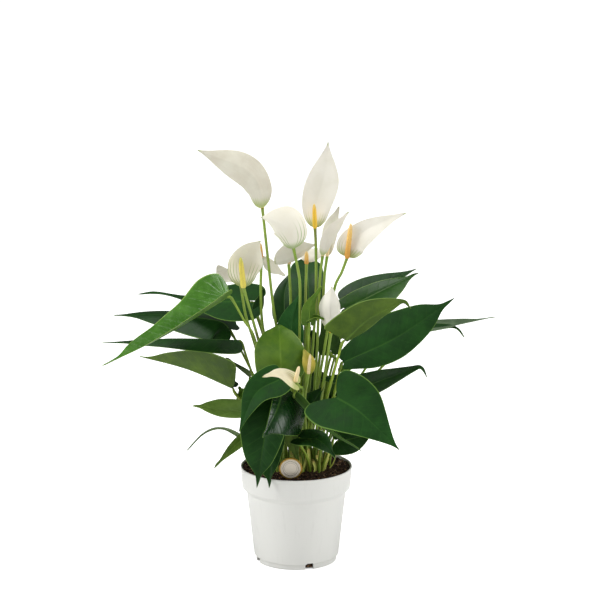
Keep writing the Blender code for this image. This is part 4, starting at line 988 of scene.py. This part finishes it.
sheath_finish, tree, shader = new_finish("dry_sheath", Roughness=0.6, Specular_IOR_Level=0.3)
run = add_node(tree, "ShaderNodeSeparateXYZ", {0: add_node(tree, "ShaderNodeUVMap", uv_map="run_map").outputs[0]})
stretched = add_node(tree, "ShaderNodeMapping", {"Vector": add_node(tree, "ShaderNodeTexCoord").outputs["Object"],
                                                 "Scale": (1.0, 1.0, 0.1)}).outputs[0]
fibres = add_node(tree, "ShaderNodeTexNoise", {"Vector": stretched, "Scale": 900.0, "Detail": 3.0}).outputs["Fac"]
papery = mixed(tree, fibres, tone(146, 160, 58), tone(206, 208, 116))
tree.links.new(mixed(tree, ranged(tree, run.outputs["X"], 0.75, 1.0, 0.0, 0.7), papery, tone(150, 116, 62)),
               shader.inputs["Base Color"])
emboss(tree, shader, fibres, 0.15, 0.6)

builder = bmesh.new()
builder.loops.layers.uv.new("vein_map")
builder.loops.layers.uv.new("run_map")
draw = random.Random(31)
for number in range(SHEATHS + STUBS):
    turned = draw.uniform(0.0, math.tau)
    out = math.sqrt(draw.uniform(0.25, 1.0))
    foot = Vector((CROWN_CENTRE[0] + math.cos(turned) * out * CROWN_REACH[0],
                   CROWN_CENTRE[1] + math.sin(turned) * out * CROWN_REACH[1], STEM_FOOT - 1.0))
    lean = Vector((math.cos(turned) * draw.uniform(-0.2, 0.5) + draw.uniform(-0.3, 0.3),
                   math.sin(turned) * draw.uniform(-0.1, 0.4), 1.0)).normalized()
    tall = draw.uniform(15.0, 34.0)
    if number < SHEATHS:
        bow = Vector((draw.uniform(-2.0, 2.0), draw.uniform(-2.0, 2.0), 0.0))
        strip = Blade((foot, foot + lean * tall * 0.5 + bow, foot + lean * tall),
                      (math.cos(turned), math.sin(turned) - 0.2, 0.1), (math.cos(turned), math.sin(turned), 0.4),
                      (24.0, 10.0), 20.0, 1.5)
        wide = draw.uniform(0.8, 1.6)
        add_sheet(builder, strip, (STRIP, STRIP), 0.0, (wide, wide), 0.35, 12, 3,
                  lambda along, side, share: (0.0, 0.0))
    else:
        stub = Line((foot, foot + lean * tall * 0.3, foot + lean * tall * 0.6))
        add_rod(builder, stub, [stub.length * step / 4 for step in range(5)], [1.7, 1.5, 1.4, 1.4, 1.2], 10,
                Vector((0.0, -1.0, 0.0)), 0)
sheaths = make_piece("crown_sheaths", builder, [sheath_finish, sheath_finish], sharp=60.0)
grow_leaf("leaf_hanging_olive", foot=(-3, -20), spine=((-7, -27, 168), (-4, -32, 143), (3, -37, 117)),
          face=(0.1, -1, 0.2), widths=(13, 14), lobe=3, fold=(12, 8), look="leaf_olive", finishes=moss_leaf,
          replaced=False)
grow_leaf("leaf_small_upright", foot=(-20, 6), spine=((-54, 9, 172), (-57, 8, 182), (-62, 7, 191)), face=(-0.2, -0.8, 0.5), shape=BROAD, widths=(9, 9), lobe=3,
          look="leaf_olive", finishes=spring_leaf, replaced=False)
grow_leaf("leaf_small_back", foot=(-6, 14), spine=((-42, 26, 273), (-38, 28, 284), (-34, 30, 294)), face=(0.2, -0.9, 0.2), widths=(6, 6), lobe=3,
          replaced=False)
grow_leaf("leaf_rolled_young", foot=(9, -2), spine=((13, -8, 267), (21, -10, 272), (30, -12, 270)), face=(0, -0.7, 0.7), widths=(6, 6), lobe=2,
          fold=(40, 30), curl=60, look="leaf_bright", finishes=spring_leaf, replaced=False)
grow_leaf("leaf_pale_edge", foot=(-14, 8), spine=((-50, 8, 202), (-63, 8, 213), (-75, 9, 223)), face=(-0.3, 0.3, 0.9), widths=(7, 7), lobe=3,
          fold=(30, 20), look="leaf_bright", finishes=painted_sheen_leaf, replaced=False)
grow_leaf("leaf_yellow_right", foot=(24, -10), spine=((48, -4, 209), (58, -6, 215), (67, -8, 217)), face=(0, -0.4, 0.9), widths=(9, 9), lobe=3,
          look="leaf_bright", finishes=spring_leaf, replaced=False)
grow_leaf("leaf_dark_pointed", foot=(12, -8), spine=((13, -8, 167), (21, -8, 182), (30, -8, 196)), face=(-0.5, -0.8, 0.4), widths=(17, 13), lobe=4,
          replaced=False)
grow_leaf("leaf_dark_small", foot=(20, 8), spine=((42, 10, 197), (33, 10, 198), (24, 10, 199)), face=(0, -0.5, 0.85), widths=(6, 6), lobe=3,
          replaced=False)
grow_leaf("leaf_far_right_back", foot=(30, 14), spine=((129, 36, 244), (155, 38, 248), (172, 38, 248), (182, 37, 238)), face=(0, -0.1, 1), widths=(13, 13), lobe=6,
          replaced=False)
grow_leaf("leaf_behind_right", foot=(22, 15), spine=((50, 32, 258), (38, 36, 242), (23, 38, 222)),
          face=(0, -0.9, 0.4), widths=(15, 13), lobe=5, replaced=False)
grow_leaf("leaf_behind_stems", foot=(12, 16), spine=((14, 26, 246), (16, 34, 222), (17, 38, 196)),
          face=(-0.2, -0.9, 0.2), widths=(9, 9), lobe=4, replaced=False)
grow_leaf("leaf_rear_inner", foot=(0, 18), spine=((6, 34, 200), (8, 48, 168), (10, 54, 126)),
          face=(-0.1, 1, 0.3), shape=BROAD, widths=(20, 20), lobe=8, replaced=False)
grow_leaf("leaf_rear_right", foot=(18, 18), spine=((36, 38, 190), (38, 56, 164), (38, 66, 124)),
          face=(0.3, 1, 0.3), shape=BROAD, widths=(19, 19), lobe=8, replaced=False)
grow_leaf("leaf_rear_low", foot=(14, 20), spine=((26, 48, 160), (42, 80, 156), (54, 106, 130)), face=(0.1, 0.2, 1),
          widths=(22, 22), lobe=9, look="leaf_olive", replaced=False)
grow_leaf("leaf_rear_left", foot=(-14, 16), spine=((-24, 46, 168), (-38, 78, 166), (-46, 104, 136)),
          face=(-0.2, 0.2, 1), widths=(22, 22), lobe=9, replaced=False)


# Flower stalks. Each round stalk runs on into the spadix, the finger-like spike whose skin is packed with
# tiny round flowers in crossing spirals, yellow to orange when ripe and paler at the tip.
SPADIX_SIDES = 26
SPADIX_ROWS = 34


def add_spadix(builder, base, tip, radius, material_index):
    """Add a spike with bumps in crossing spirals, rounded at the tip."""
    heading = (tip - base).normalized()
    reach = (tip - base).length
    up = square_to(heading, Vector((0.0, -1.0, 0.0)))
    side_way = heading.cross(up)
    rings = []
    for row in range(SPADIX_ROWS + 1):
        share = row / SPADIX_ROWS
        swell = min(1.0, 0.78 + share * 3.2) * (1.0 - 0.2 * share) * math.sqrt(max(1.0 - share ** 7, 0.03))
        ring_here = []
        for index in range(SPADIX_SIDES):
            angle = math.tau * (index + 0.5 * (row % 2)) / SPADIX_SIDES
            bump = 0.13 if (index + row // 2) % 2 else -0.08
            out = radius * swell + bump * swell
            ring_here.append(builder.verts.new(base + heading * (reach * share)
                                               + (side_way * math.cos(angle) + up * math.sin(angle)) * out))
        rings.append(ring_here)
    faces = [builder.faces.new(list(reversed(rings[0]))), builder.faces.new(rings[-1])]
    for lower, upper in zip(rings, rings[1:]):
        for index in range(SPADIX_SIDES):
            after = (index + 1) % SPADIX_SIDES
            faces.append(builder.faces.new((lower[index], lower[after], upper[after], upper[index])))
    run_map = builder.loops.layers.uv["run_map"]
    for face in faces:
        face.material_index = material_index
        for loop in face.loops:
            loop[run_map].uv = ((loop.vert.co - base).dot(heading) / reach, 0.5)


def spadix_finish(name, low, high, tip):
    """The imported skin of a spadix, from its base colour to its tip colour."""
    made, tree, shader = new_finish(name, Roughness=0.5, Specular_IOR_Level=0.4)
    run = add_node(tree, "ShaderNodeSeparateXYZ", {0: add_node(tree, "ShaderNodeUVMap", uv_map="run_map").outputs[0]})
    cells = add_node(tree, "ShaderNodeTexVoronoi", {"Scale": 1050.0, "Vector": add_node(
        tree, "ShaderNodeTexCoord").outputs["Object"]}).outputs["Distance"]
    body = mixed(tree, ranged(tree, run.outputs["X"], 0.0, 0.75), tone(*low), tone(*high))
    tipped = mixed(tree, ranged(tree, run.outputs["X"], 0.7, 1.0), body, tone(*tip))
    # Darker between the tiny flowers: painted shade in the grooves between them.
    dark = mixed(tree, ranged(tree, cells, 0.35, 0.8, 0.0, 0.22), tipped, tone(*(part * 0.7 for part in low)))
    tree.links.new(dark, shader.inputs["Base Color"])
    emboss(tree, shader, cells, -0.35, 0.8)
    return made


stalk_finish, tree, shader = new_finish("flower_stalk", Roughness=0.4, Specular_IOR_Level=0.42)
stretched = add_node(tree, "ShaderNodeMapping", {"Vector": add_node(tree, "ShaderNodeTexCoord").outputs["Object"],
                                                 "Scale": (1.0, 1.0, 0.12)}).outputs[0]
streaks = add_node(tree, "ShaderNodeTexNoise", {"Vector": stretched, "Scale": 700.0, "Detail": 3.0}).outputs["Fac"]
blotch = add_node(tree, "ShaderNodeTexNoise", {"Scale": 30.0, "Vector": add_node(
    tree, "ShaderNodeTexCoord").outputs["Object"]}).outputs["Fac"]
green = mixed(tree, streaks, tone(104, 138, 42), tone(156, 182, 72))
tree.links.new(mixed(tree, ranged(tree, blotch, 0.5, 0.72, 0.0, 0.5), green, tone(132, 128, 66)), shader.inputs["Base Color"])
emboss(tree, shader, streaks, 0.12, 0.5)
SPADIX_LOOKS = {
    "yellow": spadix_finish("spadix_yellow", (250, 206, 62), (248, 200, 66), (244, 206, 110)),
    "orange": spadix_finish("spadix_orange", (228, 164, 70), (250, 206, 116), (250, 216, 150)),
    "green": spadix_finish("spadix_green", (232, 216, 96), (226, 208, 92), (200, 198, 92)),
    "cream": spadix_finish("spadix_cream", (250, 226, 168), (252, 232, 186), (248, 226, 176)),
}


def grow_stalk(node, foot, stem, base, spadix_tip, spadix="yellow", radius=1.5, spadix_radius=2.35):
    """One flower stalk with its spadix, in the place of its node."""
    builder = bmesh.new()
    builder.loops.layers.uv.new("vein_map")
    builder.loops.layers.uv.new("run_map")
    ground = Vector((foot[0], foot[1], STEM_FOOT + 2.8))
    top = Vector(base)
    rise = top - ground
    guide = [ground - Vector((rise.x * 0.01, rise.y * 0.01, 3.0)), ground,
             ground + Vector((rise.x * 0.05, rise.y * 0.05, rise.z * 0.14))]
    guide += [Vector(point) for point in stem]
    guide.append(top)
    line = Line(guide)
    count = int(line.length / 6.0)
    stops = [line.length * step / count for step in range(count + 1)]
    radii = [radius + 0.3 * max(0.0, 1.0 - stop / 34.0) ** 1.5 + 0.3 * math.exp(-((line.length - stop) / 5.0) ** 2)
             for stop in stops]
    add_rod(builder, line, stops, radii, 10, Vector((0.0, -1.0, 0.0)), 0)
    add_spadix(builder, top, Vector(spadix_tip), spadix_radius, 1)
    made = make_piece(f"{node}_live", builder, [stalk_finish, SPADIX_LOOKS[spadix]], sharp=70.0)
    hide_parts(node)
    return made


grow_stalk("flower_top_left_stalk", foot=(-5, 2), stem=((-14, 0, 215), (-24, 4, 276), (-30, 7, 330)),
           base=(-36, 8, 387), spadix_tip=(-40, 14, 412))
grow_stalk("flower_top_stalk", foot=(9, 2), stem=((18, 6, 240), (21, 8, 294), (21, 10, 341)), base=(20, 10, 365),
           spadix_tip=(19, 6, 392), spadix_radius=2.5)
grow_stalk("flower_round_stalk", foot=(-3, -6), stem=((3, -5, 240), (4, -4, 302), (2, -4, 322)), base=(-3, -5, 347),
           spadix_tip=(-12, 0, 362), spadix="green")
grow_stalk("flower_hooded_stalk", foot=(-10, -6), stem=((-36, -10, 230), (-46, -10, 268), (-52, -12, 290)),
           base=(-56, -15, 306), spadix_tip=(-59, -20, 340), spadix="green",
           spadix_radius=3.1)
grow_stalk("flower_behind_left_stalk", foot=(-11, 2), stem=((-32, 10, 235), (-37, 14, 265), (-38, 18, 300)),
           base=(-37, 23, 329), spadix_tip=(-38, 20, 346), spadix="orange", spadix_radius=1.8)
grow_stalk("flower_far_left_stalk", foot=(-12, 10), stem=((-45, 6, 240), (-54, 6, 270)), base=(-60, 20, 303),
           spadix_tip=(-58, 22, 325), spadix="cream")
grow_stalk("flower_grey_stalk", foot=(0, 10), stem=((-5, 13, 215), (-6, 18, 282)), base=(-8, 23, 322),
           spadix_tip=(-3, 34, 337), spadix="cream", spadix_radius=1.9)
grow_stalk("flower_small_orange_stalk", foot=(6, 10), stem=((9, 12, 215), (10, 16, 288)), base=(11, 22, 323),
           spadix_tip=(11, 20, 337), spadix="orange")
grow_stalk("flower_narrow_stalk", foot=(15, 2), stem=((22, 0, 230), (25, 4, 306)), base=(28, 6, 335),
           spadix_tip=(32, 12, 346), spadix="cream", spadix_radius=1.9)
grow_stalk("flower_narrow_back_stalk", foot=(13, 10), stem=((26, 14, 230), (30, 20, 306)), base=(33, 22, 331),
           spadix_tip=(35, 22, 346), spadix="cream", spadix_radius=1.9)
grow_stalk("flower_right_stalk", foot=(12, -6), stem=((30, -4, 235), (41, 0, 302), (48, -1, 318)), base=(54, -2, 335),
           spadix_tip=(58, -6, 374), spadix="orange", spadix_radius=2.9)
grow_stalk("flower_furled_stalk", foot=(18, -6), stem=((30, -8, 205),), base=(37, -10, 255), spadix_tip=(37, -6, 280))
grow_stalk("flower_low_front_stalk", foot=(5, -14), stem=((6.5, -26, 185), (6, -33, 200), (4, -47, 205)),
           base=(-1, -62, 215), spadix_tip=(3, -64, 232.5), spadix="cream")
grow_stalk("flower_bud_stalk", foot=(12, -14), stem=((9, -21, 179),), base=(13, -26, 214), spadix_tip=(15, -28, 236),
           spadix="cream", spadix_radius=1.9)


# Spathes. The ivory bract behind each spadix: one thin, satiny, cupped leaf with fine nerves that run from
# its base to its tip, green where it leaves the stalk and at the tip, and a little see-through to light.
SPATHE = ((0.005, 0.20), (0.03, 0.40), (0.10, 0.66), (0.24, 0.88), (0.42, 1.0), (0.58, 0.93), (0.72, 0.66),
          (0.84, 0.34), (0.94, 0.09))
HOODED = ((0.0, 0.30), (0.02, 0.62), (0.08, 0.92), (0.18, 1.0), (0.34, 0.90), (0.50, 0.75), (0.68, 0.48),
          (0.82, 0.24), (0.93, 0.07))
HOOKED = ((0.03, 0.25), (0.15, 0.5), (0.4, 0.75), (0.62, 0.95), (0.76, 1.0), (0.86, 0.80), (0.91, 0.45),
          (0.96, 0.15))
SPATHE_THICKNESS = 0.6
NERVES = 5.0


def spathe_finish(name, ivory, shade, green, base_reach, nerve_reach):
    """Ivory skin with nerves that are green towards the sides, for a part of its length."""
    made, tree, shader = new_finish(name, Roughness=0.42, Specular_IOR_Level=0.4)
    spot = add_node(tree, "ShaderNodeSeparateXYZ", {0: add_node(tree, "ShaderNodeUVMap", uv_map="vein_map").outputs[0]})
    run = add_node(tree, "ShaderNodeSeparateXYZ", {0: add_node(tree, "ShaderNodeUVMap", uv_map="run_map").outputs[0]})
    place = add_node(tree, "ShaderNodeTexCoord").outputs["Object"]
    drift = add_node(tree, "ShaderNodeTexNoise", {"Vector": place, "Scale": 60.0, "Detail": 3.0}).outputs["Fac"]
    field = sum_of(tree, "MULTIPLY", spot.outputs["Y"], NERVES)
    nerve_gap = sum_of(tree, "PINGPONG", field, 0.5)
    nerve = ranged(tree, nerve_gap, 0.17, 0.04)
    fine = ranged(tree, sum_of(tree, "PINGPONG", sum_of(tree, "MULTIPLY", field, 3.0), 0.5), 0.2, 0.05)
    body = mixed(tree, ranged(tree, drift, 0.35, 0.7), tone(*ivory), tone(*shade))
    greened = ranged(tree, run.outputs["X"], nerve_reach, nerve_reach * 0.25)
    outward = sum_of(tree, "MULTIPLY", greened, ranged(tree, spot.outputs["Y"], 0.22, 0.5))
    lined = mixed(tree, sum_of(tree, "MULTIPLY", sum_of(tree, "MULTIPLY", nerve, outward), 0.85), body, tone(*green))
    low = ranged(tree, run.outputs["X"], base_reach, 0.0)
    high = ranged(tree, run.outputs["X"], 0.93, 1.0)
    ends = mixed(tree, sum_of(tree, "MULTIPLY", sum_of(tree, "MAXIMUM", low, high), 0.7), lined, tone(*green))
    tree.links.new(ends, shader.inputs["Base Color"])
    height = sum_of(tree, "ADD", nerve, sum_of(tree, "MULTIPLY", fine, 0.4))
    emboss(tree, shader, height, -0.12, 0.4)
    glow = add_node(tree, "ShaderNodeBsdfTranslucent")
    tree.links.new(ends, glow.inputs["Color"])
    blend = add_node(tree, "ShaderNodeMixShader", {0: 0.22, 1: shader.outputs[0], 2: glow.outputs[0]})
    tree.links.new(blend.outputs[0], tree.nodes["Material Output"].inputs["Surface"])
    return made


# The shaded and back looks are darker, greyer copies of the ivory: painted shade on spathes that stand in shade or turn
# away from the lamps.
SPATHE_LOOKS = {
    "ivory": spathe_finish("spathe_ivory", (252, 249, 238), (246, 243, 230), (178, 200, 84), 0.13, 0.2),
    "veined": spathe_finish("spathe_veined", (252, 249, 236), (248, 244, 228), (140, 172, 56), 0.16, 0.52),
    "shaded": spathe_finish("spathe_shaded", (244, 241, 228), (234, 231, 216), (190, 196, 130), 0.05, 0.06),
    "back": spathe_finish("spathe_back_painted_shade", (238, 235, 219), (228, 223, 205), (178, 200, 84), 0.12, 0.14),
    "cream": spathe_finish("spathe_cream", (242, 234, 204), (230, 221, 184), (176, 190, 90), 0.16, 0.5),
    "young": spathe_finish("spathe_young", (238, 224, 116), (206, 200, 88), (156, 176, 60), 0.4, 0.8),
}


def spathe_relief(seed, half_width):
    """The lift of a spathe's skin: a keel at the middle, soft nerves and a loose margin."""
    def relief(along, side, share):
        nerve = math.cos(math.tau * share * NERVES) * 0.05 * min((1.0 - share) / 0.1, 1.0)
        wave = noise.noise(Vector((along * 0.05, side * 0.05, seed))) * 1.1 * share ** 2
        return nerve + wave * min(half_width / 20.0, 1.0), 0.16 * math.exp(-(side / 0.9) ** 2)
    return relief


def grow_spathe(node, spine, face, widths, shape=SPATHE, lobe=0.0, fold=(12.0, 6.0), curl=0.0, face_tip=None, look="ivory"):
    """One spathe, in the place of its node."""
    builder = bmesh.new()
    builder.loops.layers.uv.new("vein_map")
    builder.loops.layers.uv.new("run_map")
    blade = Blade(spine, face, face_tip or face, fold, curl, max(widths))
    add_sheet(builder, blade, (shape, shape), lobe, widths, SPATHE_THICKNESS, 44, 10,
              spathe_relief(len(node) + widths[0] * 0.7, max(widths)))
    made = make_piece(f"{node}_live", builder, [SPATHE_LOOKS[look], SPATHE_LOOKS[look]], sharp=70.0)
    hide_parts(node)
    return made


grow_spathe("flower_top_left_spathe", spine=((-37, 5, 388), (-39, 3, 411), (-56, 1, 432), (-105, 0, 452)),
            face=(-0.2, 1, -0.1), widths=(16, 17), look="back")
grow_spathe("flower_top_spathe", spine=((20, 13, 365), (22, 17, 391), (29, 18, 418), (34, 16, 458)),
            face=(0, -1, 0.1), widths=(18, 18))
grow_spathe("flower_round_spathe", spine=((-3, -8, 347), (-6, -15, 362), (-13, -18, 374), (-25, -17, 380), (-38, -13, 382)),
            face=(0, 1, 0.1), widths=(24, 18), fold=(8, 8), curl=50, look="veined")
grow_spathe("flower_hooded_spathe", spine=((-56, -12, 306), (-57, -3, 320), (-54, -3, 336), (-47, -13, 351), (-37, -25, 359)),
            face=(0.1, -1, 0.1), face_tip=(0.1, -0.8, -0.6), widths=(22, 21), fold=(8, 8), curl=45, look="veined")
grow_spathe("flower_behind_left_spathe",
            spine=((-40, 26, 328), (-34, 31, 323), (-25, 33, 316), (-12, 33, 307)), face=(0, -0.7, 0.7), widths=(7, 8), look="veined")
grow_spathe("flower_far_left_spathe", spine=((-67, 22, 304), (-76, 26, 305), (-87, 27, 304)),
            face=(0, -1, 0.15), shape=HOOKED, widths=(4, 17), curl=20, look="back")
grow_spathe("flower_grey_spathe", spine=((-23, 17, 325), (-8, 20, 329), (7, 25, 336), (21, 30, 343)),
            face=(-0.2, 0.9, 0.4), widths=(7, 19), look="shaded")
grow_spathe("flower_small_orange_spathe", spine=((11, 25, 324), (16, 38, 329), (23, 54, 333)), face=(0, -0.5, 1),
            widths=(12, 12), look="shaded")
grow_spathe("flower_narrow_spathe", spine=((28, 3, 337), (33, 4, 353), (40, 6, 364), (56, 6, 384)),
            face=(-0.2, 0.95, 0.2), face_tip=(-0.6, 0.8, 0.2), widths=(8, 8))
grow_spathe("flower_narrow_back_spathe", spine=((34, 25, 332), (38, 28, 360), (46, 28, 385)), face=(-0.5, -0.8, 0.2),
            widths=(10, 9), look="shaded")
grow_spathe("flower_right_spathe", spine=((54, 1, 336), (58.5, 1, 351), (74.5, -4, 366), (98, -10, 379), (117, -14, 387)),
            face=(-0.1, -0.95, 0.3), shape=HOODED, widths=(14, 17))
grow_spathe("flower_furled_spathe", spine=((37, -13, 260), (36, -16, 286), (38, -8, 306)), face=(0, 1, 0),
            widths=(18, 18), fold=(20, 20), curl=60)
grow_spathe("flower_low_front_spathe", spine=((-1, -63, 213.5), (-18, -68, 225), (-36, -76, 224)),
            face=(0.2, -0.5, 0.85), shape=HEART, widths=(12, 12), lobe=5, look="cream")
grow_spathe("flower_bud_spathe", spine=((13.5, -24, 213), (12.5, -20, 226), (8, -22, 240)),
            face=(0.1, -1, 0.15), widths=(9, 10), fold=(22, 20), curl=45, look="young")
